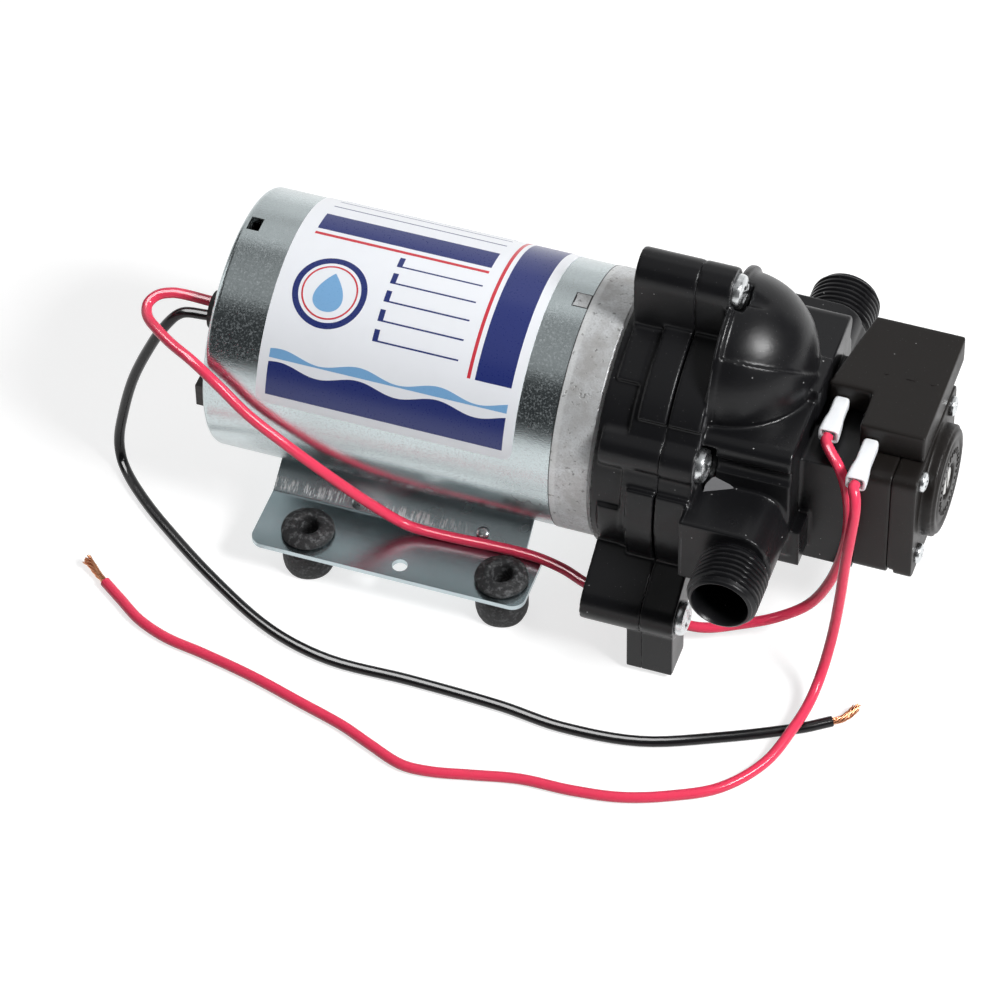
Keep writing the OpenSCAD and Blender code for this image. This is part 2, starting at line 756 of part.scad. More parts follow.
module port_outer() {
  edge_x = port_x + neck_r - 1.5 - block_edge_r;
  edge_z = port_z + port_block_up - block_edge_r;
  ycyl(-neck_y, neck_y, neck_r, port_x, port_z);
  // The block beside the neck has a flat top with a rounded edge
  block(x_seat - 1, edge_x, -neck_y, neck_y, axis_z + port_z - neck_r, axis_z + port_z + port_block_up);
  block(x_seat - 1, edge_x + block_edge_r, -neck_y, neck_y, axis_z + port_z, axis_z + edge_z);
  ycyl(-neck_y, neck_y, block_edge_r, edge_x, edge_z);
  translate([port_x, neck_y, axis_z + port_z]) rotate([-90, 0, 0]) port_thread();
  translate([port_x, -neck_y, axis_z + port_z]) rotate([90, 0, 0]) port_thread();
}

// Body behind the port blocks, with rounded top edges
module port_body() {
  half = body_w / 2;
  x1 = x_seat + body_len;
  top = axis_z + body_up;
  block(x_seat - 1, x1, -half, half, axis_z - body_down, top - body_edge_r);
  block(x_seat - 1, x1, body_edge_r - half, half - body_edge_r, axis_z, top);
  for (s = [-1, 1]) xcyl(x_seat - 1, x1, body_edge_r, s * (half - body_edge_r), body_up - body_edge_r);
  // Lug on the front
  block(x1 - 4.4, x1 + 3.1, -half + 0.4, -half_w + 1, axis_z - body_down - 4, axis_z - 2.5);
}

module upper_outer() {
  xcyl(x_part, x_seat, rim_r);
  pads(x_part + pad_back, x_seat - pad_back, pad_r, pad_half);
  lobes(x_part, x_seat, boss_r);
  legs(x_part, x_part + 9.2);
  for (t = mid_t) about_axis(t) lcyl(x_part, x_seat, boss_r, mid_r);
  xcyl(x_part, x_seat + 4, wall_in - 2);
  dome();
  port_outer();
  block(x_seat, x_block, -half_w, half_w, axis_z - half_w, axis_z + block_up);
  port_body();
  // Neck from the dome to the switch
  block(x_seat + dome_r - 4, case_x0 - 0.3, -7, 7, axis_z + block_up - 2, axis_z + dome_z);
}

module upper_passages() {
  // Seat of the valve plate, then the ring-shaped inlet space and the round outlet space
  xcyl(x_part - 1, x_part + valve_t + 0.1, wall_in);
  xring(x_part + valve_t, x_part + valve_t + 3, wall_in - 4, 16);
  xcyl(x_part + valve_t, x_part + 24, 12.5);
  intersection() {
    dome_body(dome_r - 3.4);
    block(x_part + valve_t - 1, x_disc, -60, 60, axis_z + block_up + 2, axis_z + corner_r - head_r - 3);
    union() {
      xcyl(x_part + valve_t - 2, x_seat + 3, wall_in - 2);
      block(x_seat + 2, x_disc, -60, 60, 0, 3 * axis_z);
    }
  }
  // Inlet at the front, outlet at the back
  ycyl(-port_half - 1, -34, bore_r, port_x, port_z);
  ycyl(-40, -19, 6, port_x, port_z);
  xcyl(x_part + valve_t + 1, port_x, 4.5, -25, port_z);
  ycyl(valve_seat_y, port_half + 1, bore_r, port_x, port_z);
  ycyl(0, valve_seat_y + 1, 5, port_x, port_z);
  // Bore to the pressure switch
  xcyl(x_part + 20, x_block + 1, 2.5);
}

module upper_housing() {
  color("#17181b") difference() {
    upper_outer();
    upper_passages();
    screw_holes(x_part - 1, x_seat + 5, hole_r);
    // Room for the screw heads
    for (t = corner_t) about_axis(t) {
      lcyl(x_seat, x_seat + 4, head_r + 0.7, corner_r);
      lcyl(x_seat, x_seat + 30, driver_r, corner_r);
    }
    for (t = mid_t) about_axis(t) {
      lcyl(x_seat, x_seat + 4.5, head_r + 1, mid_r);
      lcyl(x_seat, x_seat + 40, driver_r, mid_r);
    }
    // Slots in the front and back legs
    for (s = [0, 1]) mirror([0, s, 0])
      block(x_part + 4.5, x_part + 7, leg_in - 1, leg_out - 2.5, 0, axis_z - corner_r / 2 - boss_r - 1);
    for (y = [-1, 1]) for (z = [-screw_pos, screw_up])
      xcyl(x_block - 9, x_block + 1, 1.55, y * screw_pos, z);
  }
}

module cross_recess(x) {
  block(x - 1.8, x + 1, -2.6, 2.6, -0.55, 0.55);
  block(x - 1.8, x + 1, -0.55, 0.55, -2.6, 2.6);
}

module pan_screw(x0, len_in, r_head, h_head, r_shank) {
  difference() {
    union() {
      translate([x0 + 0.02, 0, 0]) rotate([0, 90, 0]) rotate_extrude()
        polygon([[0, 0], [r_head, 0], [r_head, 0.45 * h_head], [0.86 * r_head, 0.8 * h_head],
                 [0.6 * r_head, h_head], [0, h_head]]);
      lcyl(x0 - len_in, x0 + 0.5, r_shank);
    }
    cross_recess(x0 + h_head);
  }
}

module head_screws() {
  color("#c7ccd0") {
    for (t = corner_t) about_axis(t) translate([0, 0, corner_r])
      pan_screw(x_seat, 24, head_r, 3.2, screw_r);
    for (t = mid_t) about_axis(t) translate([0, 0, mid_r])
      pan_screw(x_seat, 24, head_r, 3.2, screw_r);
  }
}

// Diaphragm drive

module wobble_bush() {
  color("#a9772f") tilted() difference() {
    lcyl(-16.4, -8.4, bush_w_r);
    lcyl(-20, 0, cam_r + run_gap);
  }
}

module wobble_plate() {
  color("#d9d6c8") tilted() difference() {
    union() {
      lcyl(-16.2, -5, hub_r);
      lcyl(-8, -4.6, 29.5);
      for (t = corner_t) rotate([-t, 0, 0]) lcyl(-5, -dia_t / 2 - 0.02, piston_rad, piston_r);
    }
    lcyl(-20, -7, bush_w_r + seat_gap);
    for (t = corner_t) rotate([-t, 0, 0]) {
      lcyl(-9, 1, 1.55, piston_r);
      lcyl(-3.2, 1, 2.55, piston_r);
    }
  }
}

module pistons() {
  color("#ece9dd") tilted() for (t = corner_t) rotate([-t, 0, 0]) difference() {
    union() {
      lcyl(dia_t / 2 + 0.02, dia_t / 2 + 2.2, piston_rad, piston_r);
      lcyl(-3, dia_t / 2 + 1, 2.5, piston_r);
    }
    lcyl(-4, dia_t / 2 + 1.4, 1.55, piston_r);
  }
}

module piston_screws() {
  color("#c4c8cc") tilted() for (t = corner_t) rotate([-t, 0, 0]) {
    lcyl(-10, -8.02, 3.3, piston_r);
    lcyl(-9, dia_t / 2 + 1.2, 1.5, piston_r);
  }
}

module diaphragm() {
  h = dia_t / 2;
  r0 = piston_rad + 0.4;
  r1 = chamber_r - 0.1;
  color("#222326") {
    difference() {
      xcyl(x_part - dia_t + 0.01, x_part - 0.01, core_r - 2.1);
      for (t = corner_t) about_axis(t) lcyl(x_part - 5, x_part + 5, r1 - 0.3, piston_r);
      for (t = mid_t) about_axis(t) lcyl(x_part - 5, x_part + 5, hole_r + 0.2, mid_r);
    }
    for (t = corner_t) {
      lift = piston_r * cos(t) * sin(tilt);
      about_axis(t) translate([x_nut, 0, piston_r]) rotate([0, 90, 0]) rotate_extrude()
        polygon([[r0, lift - h], [r1, -h + 0.01], [r1, h - 0.01], [r0, lift + h]]);
    }
    tilted() for (t = corner_t) rotate([-t, 0, 0]) difference() {
      lcyl(-h, h, r0 + 0.3, piston_r);
      lcyl(-5, 5, 2.6, piston_r);
    }
  }
}

module valve_plate() {
  color("#33363a") difference() {
    xcyl(x_part, x_part + valve_t, valve_r);
    for (t = corner_t) about_axis(t) {
      lcyl(x_part - 1, x_part + chamber_h, chamber_r, piston_r);
      lcyl(x_part, x_part + valve_t + 1, 1.25, 24);
      for (a = [-4, 4]) translate([0, a, 0]) lcyl(x_part, x_part + valve_t + 1, 1.3, 24);
      lcyl(x_part, x_part + valve_t + 1, 1.5, 8.6);
    }
    xcyl(x_part, x_part + valve_t + 1, 1.55);
  }
}

module inlet_valves() {
  color("#5b2f2a") for (t = corner_t) about_axis(t) {
    lcyl(x_part + chamber_h - 0.8, x_part + chamber_h - 0.02, 5.6, 24);
    lcyl(x_part + chamber_h - 0.4, x_part + valve_t + 1.6, 1.2, 24);
    lcyl(x_part + valve_t + 0.02, x_part + valve_t + 1.6, 1.9, 24);
  }
}

module outlet_valve() {
  color("#5b2f2a") {
    xcyl(x_part + valve_t + 0.02, x_part + valve_t + 1.1, 11.4);
    xcyl(x_part + valve_t - 2.9, x_part + valve_t + 0.5, 1.5);
  }
}

// Outlet check valve

module check_poppet() {
  color("#d7d3c4") {
    ycyl(valve_seat_y + 0.05, valve_seat_y + 2.4, bore_r - 1.4, port_x, port_z);
    ycyl(valve_seat_y + 1, retainer_y + 1.6, 1.5, port_x, port_z);
  }
}

module check_spring() {
  y0 = valve_seat_y + 2.45;
  color("#c9ccd0") translate([port_x, y0, axis_z + port_z]) rotate([-90, 0, 0])
    coil(3.2, retainer_y - y0 - 0.05, 0.4, 5);
}

module check_retainer() {
  color("#d7d3c4") difference() {
    ycyl(retainer_y, retainer_y + 2.5, bore_r - seat_gap, port_x, port_z);
    ycyl(retainer_y - 1, retainer_y + 4, 1.6, port_x, port_z);
    for (i = [0 : 3]) translate([port_x, 0, axis_z + port_z]) rotate([0, 90 * i, 0])
      translate([bore_r - 3, retainer_y - 1, 0]) rotate([-90, 0, 0]) cylinder(h = 6, r = 1.7);
  }
}

// Pressure switch

module rounded_block(x0, x1) {
  r = 3;
  for (y = [-1, 1]) for (z = [-half_w + r, block_up - r]) xcyl(x0, x1, r, y * (half_w - r), z);
  block(x0, x1, -half_w + r, half_w - r, axis_z - half_w, axis_z + block_up);
  block(x0, x1, -half_w, half_w, axis_z - half_w + r, axis_z + block_up - r);
}

module switch_diaphragm() {
  color("#222326") xcyl(x_block + 0.01, x_block + 1.2, sw_dia_r);
}

module switch_housing() {
  color("#201d1b") difference() {
    rounded_block(x_block + 0.01, x_switch);
    xcyl(x_block - 1, x_block + 1.21, sw_dia_r + 0.1);
    xcyl(x_block, x_switch + 1, 8.6);
    block(x_block + 1.1, x_switch + 1, -2.6, 2.6, axis_z, axis_z + block_up + 1);
    for (y = [-1, 1]) for (z = [-screw_pos, screw_up])
      xcyl(x_block - 1, x_switch + 1, 1.7, y * screw_pos, z);
    block(x_switch - 1.2, x_switch + 1, -12.5, -9.5, axis_z - half_w - 1, axis_z - half_w + 1.6);
  }
}

module switch_plunger() {
  x0 = x_block + 1.25;
  color("#e8e4d6") {
    xcyl(x0, x0 + 2, 8);
    xcyl(x0, x0 + 4.6, 3);
    translate([0, 2, axis_z]) rotate([90, 0, 0]) linear_extrude(4)
      polygon([[x0, 5], [x0 + 2.2, 5], [x0 + 2.2, block_up - 5], [x0 + 4.6, block_up - 5],
               [x0 + 4.6, block_up - 3.9], [x0 + 2.85, block_up - 2.6], [x0 + 0.8, block_up - 1.05],
               [x0, block_up - 1.05]]);
  }
}

module switch_spring() {
  x0 = x_block + 3.3;
  color("#c9ccd0") translate([x0, 0, axis_z]) rotate([0, 90, 0])
    coil(4.6, x_switch + 1.2 - x0 - 0.05, 0.5, 4);
}

module switch_cover() {
  color("#201d1b") difference() {
    union() {
      rounded_block(x_switch + 0.01, x_cover);
      xcyl(x_cover - 1, x_cover + disc_h - 1, disc_d / 2);
      xcyl(x_cover, x_disc, disc_d / 2 - 1);
    }
    xring(x_disc - 0.5, x_disc + 1, disc_d / 2 - 3.2, disc_d / 2 - 5);
    xcyl(x_switch - 1, x_switch + 4.2, 6.4);
    xcyl(x_switch, x_disc + 1, 4.05);
    xcyl(x_disc - 1.4, x_disc + 1, 5.4);
    for (y = [-1, 1]) for (z = [-screw_pos, screw_up])
      xcyl(x_switch - 1, x_cover + 1, 1.7, y * screw_pos, z);
    // The disc is cut away round the screw heads
    for (y = [-1, 1]) for (z = [-screw_pos, screw_up])
      xcyl(x_cover, x_disc + 1, 3.4, y * screw_pos, z);
  }
}

module switch_screws() {
  color("#cfd3d6") for (y = [-1, 1]) for (z = [-screw_pos, screw_up])
    translate([0, y * screw_pos, axis_z + z])
      pan_screw(x_cover, cover_len + switch_len + 7, 3, 1.8, 1.5);
}

module adjust_screw() {
  color("#d5d8da") difference() {
    union() {
      xcyl(x_switch + 1.25, x_switch + 4, 5.8);
      xcyl(x_switch + 3, x_disc - 0.6, 4);
    }
    block(x_disc - 2.2, x_disc, -0.7, 0.7, axis_z - 5, axis_z + 5);
  }
}

module snap_switch_case() {
  color("#211f1d") difference() {
    translate([0, 0, case_z]) linear_extrude(case_h)
      polygon([[case_x0 + case_slant, case_back], [case_x1, case_back], [case_x1, term_face[1]],
               [case_x0 + case_step, term_face[1]], [case_x0 + case_step, term_face[0]],
               [case_x0, term_face[0]]]);
    translate([x_block + 5.6, 0, case_z - 1]) cylinder(h = 6, r = 1.55);
    for (i = [0, 1])
      block(term_x[i] - blade_w - 0.02, term_x[i] + blade_w + 0.02, term_face[i] - 1, term_face[i] + 5,
            term_z - blade_t - 0.02, term_z + blade_t + 0.02);
  }
}

module snap_switch_button() {
  color("#b03a2e") translate([x_block + 5.6, 0, axis_z + block_up - 2.5])
    cylinder(h = 4.5, r = 1.5);
}

module switch_terminals() {
  color("#c8a652") for (i = [0, 1])
    block(term_x[i] - blade_w, term_x[i] + blade_w, sleeve_end[i] + 6, term_face[i] + 4.9,
          term_z - blade_t, term_z + blade_t);
}

module sleeve(i) {
  y1 = term_face[i] - 0.4;
  y0 = sleeve_end[i];
  color("#f1efe9") difference() {
    union() {
      block(term_x[i] - sleeve_w, term_x[i] + sleeve_w, y0 + 2, y1, term_z - sleeve_t, term_z + sleeve_t);
      block(term_x[i] - hood_w, term_x[i] + hood_w, y0, y0 + 7, term_z - hood_t, term_z + hood_t);
    }
    block(term_x[i] - blade_w - 0.05, term_x[i] + blade_w + 0.05, y0 + 5.9, y1 + 1,
          term_z - blade_t - 0.05, term_z + blade_t + 0.05);
  }
}

module sleeve_link() { sleeve(0); }

module sleeve_supply() { sleeve(1); }

// Leads

module link_lead() { color("#d8404f") swept_tube(link_pts, lead_d / 2, 8); }

module red_lead() { color("#d8404f") swept_tube(red_pts, lead_d / 2, 8); }

module black_lead() { color("#141416") swept_tube(black_pts, lead_d / 2, 8); }

module red_strands() { color("#c7814b") swept_tube(red_bare, strand_d / 2, 8); }

module black_strands() { color("#c7814b") swept_tube(black_bare, strand_d / 2, 8); }

motor_can();
rating_label();
magnets();
rear_bush();
brush_plate();
brush_holders();
brush_front();
brush_back();
brush_spring_front();
brush_spring_back();
wire_grommet();
front_casting();
bearing_outer();
bearing_balls();
bearing_inner();
motor_shaft();
armature_core();
armature_windings();
commutator();
thrust_washer();
cam_hub();
base_bracket();
foot_front_rear();
foot_front_head();
foot_back_rear();
foot_back_head();
lower_housing();
casting_screws();
wobble_bush();
wobble_plate();
pistons();
piston_screws();
diaphragm();
valve_plate();
inlet_valves();
outlet_valve();
upper_housing();
head_screws();
check_poppet();
check_spring();
check_retainer();
switch_diaphragm();
switch_plunger();
switch_spring();
switch_housing();
switch_cover();
switch_screws();
adjust_screw();
snap_switch_case();
snap_switch_button();
switch_terminals();
sleeve_link();
sleeve_supply();
link_lead();
red_lead();
black_lead();
red_strands();
black_strands();
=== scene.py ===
"""Looks of a caravan water pump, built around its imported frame. All lengths are in metres."""
import json
import math
import random

import bmesh
import bpy
from mathutils import Matrix, Vector


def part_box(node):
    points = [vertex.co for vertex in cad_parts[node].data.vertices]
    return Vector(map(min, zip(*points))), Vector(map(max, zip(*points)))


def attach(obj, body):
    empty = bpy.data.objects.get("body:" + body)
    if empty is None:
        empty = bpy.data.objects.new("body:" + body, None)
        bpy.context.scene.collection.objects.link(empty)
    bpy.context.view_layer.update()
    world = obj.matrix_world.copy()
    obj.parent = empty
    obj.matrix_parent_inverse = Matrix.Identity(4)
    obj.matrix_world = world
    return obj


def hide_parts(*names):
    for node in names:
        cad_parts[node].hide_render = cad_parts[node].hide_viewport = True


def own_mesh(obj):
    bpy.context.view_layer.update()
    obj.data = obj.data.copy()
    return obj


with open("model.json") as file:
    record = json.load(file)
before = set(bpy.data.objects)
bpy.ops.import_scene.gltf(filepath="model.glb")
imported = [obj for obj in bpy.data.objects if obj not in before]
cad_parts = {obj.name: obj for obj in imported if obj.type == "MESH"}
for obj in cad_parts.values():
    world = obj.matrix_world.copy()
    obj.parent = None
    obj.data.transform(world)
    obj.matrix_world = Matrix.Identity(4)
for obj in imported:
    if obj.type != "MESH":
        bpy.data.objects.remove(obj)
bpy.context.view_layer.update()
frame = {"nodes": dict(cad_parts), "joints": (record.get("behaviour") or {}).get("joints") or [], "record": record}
MM = 0.001
THIRDS = (0, 120, 240)
NODES = frame["nodes"]


# Places taken from the frame

def joint_of(name):
    return next(j for j in frame["joints"] if j["name"] == name)


AXIS_Z = joint_of("shaft_spin")["pos_m"][2]
LABEL_LOW, LABEL_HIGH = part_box("rating_label")
LABEL_R = LABEL_HIGH.z - AXIS_Z
CASE_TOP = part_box("snap_switch_case")[1].z
CAN_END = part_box("motor_can")[1].x
CAST_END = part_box("front_casting")[1].x


# Camera at the photograph's viewing angle

CAMERA_AZIMUTH = 18.234
CAMERA_ELEVATION = 46.496
CAMERA_DISTANCE = 1.55508
CAMERA_TARGET = Vector((43.25, 0, 52.5)) * MM
TARGET_PIXEL = (591.1, 396.2)
IMAGE_SIDE = 1000
FOCAL_PIXELS = 5359.2
SENSOR = 36


def make_camera():
    a = math.radians(CAMERA_AZIMUTH)
    e = math.radians(CAMERA_ELEVATION)
    back = Vector((math.sin(a) * math.cos(e), -math.cos(a) * math.cos(e), math.sin(e)))
    right = Vector((math.cos(a), math.sin(a), 0))
    up = back.cross(right)
    eye = CAMERA_TARGET + back * CAMERA_DISTANCE
    # The picture's middle lies beside the target, so the camera aims there
    middle = IMAGE_SIDE / 2
    aim = -back
    aim += right * ((middle - TARGET_PIXEL[0]) / FOCAL_PIXELS)
    aim -= up * ((middle - TARGET_PIXEL[1]) / FOCAL_PIXELS)
    back = -aim.normalized()
    right = (right - back * right.dot(back)).normalized()
    up = back.cross(right)
    data = bpy.data.cameras.new("camera")
    data.sensor_width = SENSOR
    data.lens = FOCAL_PIXELS / IMAGE_SIDE * SENSOR
    data.clip_start = 0.05
    data.clip_end = 50
    camera = bpy.data.objects.new("camera", data)
    turn = Matrix((right, up, back)).transposed()
    camera.matrix_world = Matrix.Translation(eye) @ turn.to_4x4()
    bpy.context.collection.objects.link(camera)
    bpy.context.scene.camera = camera


make_camera()
bpy.context.scene.view_settings.view_transform = "Standard"


# Materials

class Shader:
    """A material with a Principled shader, and short calls that add nodes to it."""

    def __init__(self, name, color, rough, metal=0.0, coat=0.0, specular=0.5):
        self.material = bpy.data.materials.new(name)
        self.material.use_nodes = True
        self.tree = self.material.node_tree
        self.main = self.tree.nodes["Principled BSDF"]
        self.main.inputs["Base Color"].default_value = (*color, 1)
        self.main.inputs["Roughness"].default_value = rough
        self.main.inputs["Metallic"].default_value = metal
        self.main.inputs["Coat Weight"].default_value = coat
        self.main.inputs["Coat Roughness"].default_value = 0.2
        self.main.inputs["Specular IOR Level"].default_value = specular
        self.height = None
        self.coords = self.add("ShaderNodeTexCoord").outputs["Object"]

    def add(self, kind, **values):
        node = self.tree.nodes.new(kind)
        for key, value in values.items():
            if key in node.inputs:
                node.inputs[key].default_value = value
            else:
                setattr(node, key, value)
        return node

    def link(self, a, b):
        self.tree.links.new(a, b)

    def stretched(self, stretch):
        node = self.add("ShaderNodeMapping")
        node.inputs["Scale"].default_value = stretch
        self.link(self.coords, node.inputs["Vector"])
        return node.outputs["Vector"]

    def noise(self, per_metre, detail=3.0, stretch=(1, 1, 1)):
        node = self.add("ShaderNodeTexNoise", Scale=per_metre, Detail=detail, Roughness=0.6)
        self.link(self.stretched(stretch), node.inputs["Vector"])
        return node.outputs["Fac"]

    def cells(self, per_metre):
        node = self.add("ShaderNodeTexVoronoi", Scale=per_metre)
        self.link(self.coords, node.inputs["Vector"])
        return node.outputs["Distance"]

    def ramp(self, fac, low, high, first, last):
        node = self.add("ShaderNodeMapRange")
        node.inputs["From Min"].default_value = low
        node.inputs["From Max"].default_value = high
        node.inputs["To Min"].default_value = first
        node.inputs["To Max"].default_value = last
        self.link(fac, node.inputs["Value"])
        return node.outputs["Result"]

    def near(self, axis, place, half):
        """1 close to a plane across one axis, 0 from half away."""
        split = self.add("ShaderNodeSeparateXYZ")
        self.link(self.coords, split.inputs["Vector"])
        off = self.add("ShaderNodeMath", operation="SUBTRACT")
        self.link(split.outputs[axis], off.inputs[0])
        off.inputs[1].default_value = place
        size = self.add("ShaderNodeMath", operation="ABSOLUTE")
        self.link(off.outputs["Value"], size.inputs[0])
        return self.ramp(size.outputs["Value"], half, 0.5 * half, 0, 1)

    def joined(self, a, b, operation):
        node = self.add("ShaderNodeMath", operation=operation)
        self.link(a, node.inputs[0])
        self.link(b, node.inputs[1])
        return node.outputs["Value"]

    def times(self, a, b):
        return self.joined(a, b, "MULTIPLY")

    def larger(self, a, b):
        return self.joined(a, b, "MAXIMUM")

    def tint(self, fac, other):
        """Mixes the base colour towards another one where fac is high."""
        node = self.add("ShaderNodeMix")
        node.data_type = "RGBA"
        base = self.main.inputs["Base Color"]
        if base.is_linked:
            self.link(base.links[0].from_socket, node.inputs[6])
        else:
            node.inputs[6].default_value = base.default_value
        node.inputs[7].default_value = (*other, 1)
        self.link(fac, node.inputs["Factor"])
        self.link(node.outputs[2], base)

    def rough(self, fac, low, high, first, last):
        self.link(self.ramp(fac, low, high, first, last), self.main.inputs["Roughness"])

    def bump(self, fac, depth, strength=1.0):
        node = self.add("ShaderNodeBump", Distance=depth, Strength=strength)
        self.link(fac, node.inputs["Height"])
        if self.height is not None:
            self.link(self.height, node.inputs["Normal"])
        self.height = node.outputs["Normal"]
        self.link(self.height, self.main.inputs["Normal"])


# Scuffed stripe along the bracket's bend, painted bright also as the bend's highlight: middle and height, reach
# along it and half width
SCUFF_SHEEN_AT = (-30 * MM, 15.2 * MM)
SCUFF_SHEEN_REACH = 52 * MM
SCUFF_SHEEN_HALF = 1.3 * MM


def zinc(name, color, rough, streak, glint_specks, bend=None):
    """Zinc plate with fine scratches, and pale flecks painted in as glints of its grain. bend is a scuffed
    stripe's middle and height, the stripe also painted bright as the bend's highlight.
    """
    s = Shader(name, color, rough, metal=1.0)
    streaks = s.noise(900, 4, streak)
    clouds = s.noise(45, 3)
    grain = s.noise(2600, 3)
    s.rough(clouds, 0.3, 0.7, rough - 0.04, rough + 0.07)
    s.tint(s.ramp(clouds, 0.45, 0.75, 0, 0.35), tuple(c * 0.82 for c in color))
    s.tint(s.ramp(grain, 0.5, 0.72, 0, 0.35), tuple(c * 0.7 for c in color))
    # Painted glints: pale, less metallic flecks that stand in for the grain catching the lamp
    bright = s.ramp(s.noise(1700, 2), 0.5, 0.66, 0, glint_specks)
    s.tint(bright, (0.66, 0.70, 0.72))
    if bend is not None:
        # Scratches along the bend, made near white and barely metallic: partly real scuffing, partly a painted
        # highlight that shows even in shade
        scuffs_and_sheen = s.ramp(s.noise(1500, 4, (1, 0.15, 0.15)), 0.46, 0.58, 0, 1)
        middle, height = bend
        stripe = s.times(s.near("X", middle, SCUFF_SHEEN_REACH), s.near("Z", height, SCUFF_SHEEN_HALF))
        scuffs_and_sheen = s.times(stripe, scuffs_and_sheen)
        s.tint(scuffs_and_sheen, (0.95, 0.96, 0.97))
        bright = s.larger(bright, scuffs_and_sheen)
    s.link(s.ramp(bright, 0, 1, 1, 0.1), s.main.inputs["Metallic"])
    s.bump(streaks, 0.00005, 0.4)
    s.bump(grain, 0.00005, 0.7)
    return s.material


def cast_metal(name):
    s = Shader(name, (0.66, 0.675, 0.685), 0.46, metal=0.45)
    pits = s.ramp(s.noise(620, 2), 0.62, 0.72, 0, 1)
    patches = s.noise(120, 4)
    grain = s.noise(1700, 3)
    s.tint(s.ramp(patches, 0.42, 0.66, 0, 0.8), (0.39, 0.38, 0.37))
    s.tint(s.ramp(grain, 0.45, 0.68, 0, 0.6), (0.42, 0.42, 0.42))
    # Painted highlights: a pale band just ahead of the can's front end, and a bright line along the casting's
    # front edge
    s.tint(s.ramp(s.near("X", CAN_END + 1.1 * MM, 1.2 * MM), 0, 1, 0, 0.45), (0.8, 0.81, 0.81))
    s.tint(s.near("X", CAST_END - 0.5 * MM, 0.7 * MM), (0.9, 0.9, 0.9))
    # Painted shade: a dark line in the seam where the casting meets the can
    s.tint(s.near("X", CAN_END, 0.35 * MM), (0.02, 0.02, 0.02))
    s.tint(s.ramp(pits, 0, 1, 0, 0.6), (0.10, 0.095, 0.09))
    s.rough(grain, 0.3, 0.7, 0.4, 0.6)
    s.bump(s.ramp(pits, 0, 1, 1, 0), 0.00015, 0.6)
    s.bump(grain, 0.0001, 0.6)
    return s.material


def moulded_plastic(name, color, rough, dust, flash=()):
    """Black plastic with dust, and a worn flash line on each plane across X in flash."""
    s = Shader(name, color, rough, specular=0.3)
    fine = s.noise(2600, 3)
    wide = s.noise(60, 4)
    for place in flash:
        worn = s.ramp(s.noise(240, 4), 0.42, 0.6, 0, 0.75)
        s.tint(s.times(s.near("X", place, 0.16 * MM), worn), (0.13, 0.13, 0.135))
    settled_here = s.ramp(s.noise(110, 2), 0.42, 0.55, 0, dust)
    s.tint(s.times(s.ramp(s.cells(210), 0.055, 0.03, 0, 1), settled_here), (0.45, 0.45, 0.45))
    s.tint(s.ramp(s.cells(700), 0.09, 0.05, 0, 0.5 * dust), (0.12, 0.12, 0.12))
    s.rough(wide, 0.3, 0.7, rough - 0.05, rough + 0.07)
    s.bump(fine, 0.00003, 0.5)
    s.bump(s.noise(350, 2), 0.00008, 0.25)
    return s.material


def rubber(name, color, wear, wear_amount):
    s = Shader(name, color, 0.65)
    blotch = s.noise(700, 6)
    grain = s.noise(2200, 3)
    s.tint(s.ramp(blotch, 0.5, 0.68, 0, wear_amount), wear)
    s.rough(grain, 0.3, 0.7, 0.55, 0.8)
    s.bump(blotch, 0.00018, 0.5)
    s.bump(grain, 0.00006, 0.6)
    return s.material


def insulation(name, color):
    s = Shader(name, color, 0.26, coat=0.36, specular=0.12)
    s.main.inputs["Coat Roughness"].default_value = 0.12
    wave = s.noise(120, 3)
    s.rough(wave, 0.3, 0.7, 0.2, 0.32)
    s.tint(s.ramp(wave, 0.45, 0.8, 0, 0.3), tuple(min(1, c * 0.75) for c in color))
    s.bump(s.noise(700, 2), 0.00004, 0.35)
    return s.material


def printed(name, color, rough=0.32):
    s = Shader(name, color, rough, coat=0.2)
    paper = s.noise(1800, 2)
    s.rough(paper, 0.3, 0.7, rough - 0.04, rough + 0.06)
    s.tint(s.ramp(s.noise(90, 3), 0.5, 0.9, 0, 0.25), tuple(c * 0.86 for c in color))
    s.bump(paper, 0.00001, 0.4)
    return s.material


def nylon(name, color):
    s = Shader(name, color, 0.42)
    s.main.inputs["Subsurface Weight"].default_value = 0.25
    s.main.inputs["Subsurface Radius"].default_value = (0.002, 0.002, 0.002)
    wave = s.noise(300, 3)
    s.rough(wave, 0.3, 0.7, 0.36, 0.5)
    s.tint(s.ramp(wave, 0.5, 0.9, 0, 0.4), tuple(c * 0.9 for c in color))
    s.bump(s.noise(1200, 2), 0.00003, 0.4)
    return s.material


def metal(name, color, rough):
    s = Shader(name, color, rough, metal=1.0)
    fine = s.noise(1200, 3)
    s.rough(fine, 0.3, 0.7, rough - 0.06, rough + 0.1)
    s.tint(s.ramp(s.noise(200, 3), 0.5, 0.8, 0, 0.4), tuple(c * 0.75 for c in color))
    s.bump(fine, 0.00003, 0.4)
    return s.material


def dull(name, color, rough=0.6):
    s = Shader(name, color, rough)
    fine = s.noise(900, 3)
    s.rough(fine, 0.3, 0.7, rough - 0.08, rough + 0.1)
    s.tint(s.ramp(fine, 0.45, 0.8, 0, 0.4), tuple(c * 0.8 for c in color))
    s.bump(fine, 0.00004, 0.4)
    return s.material


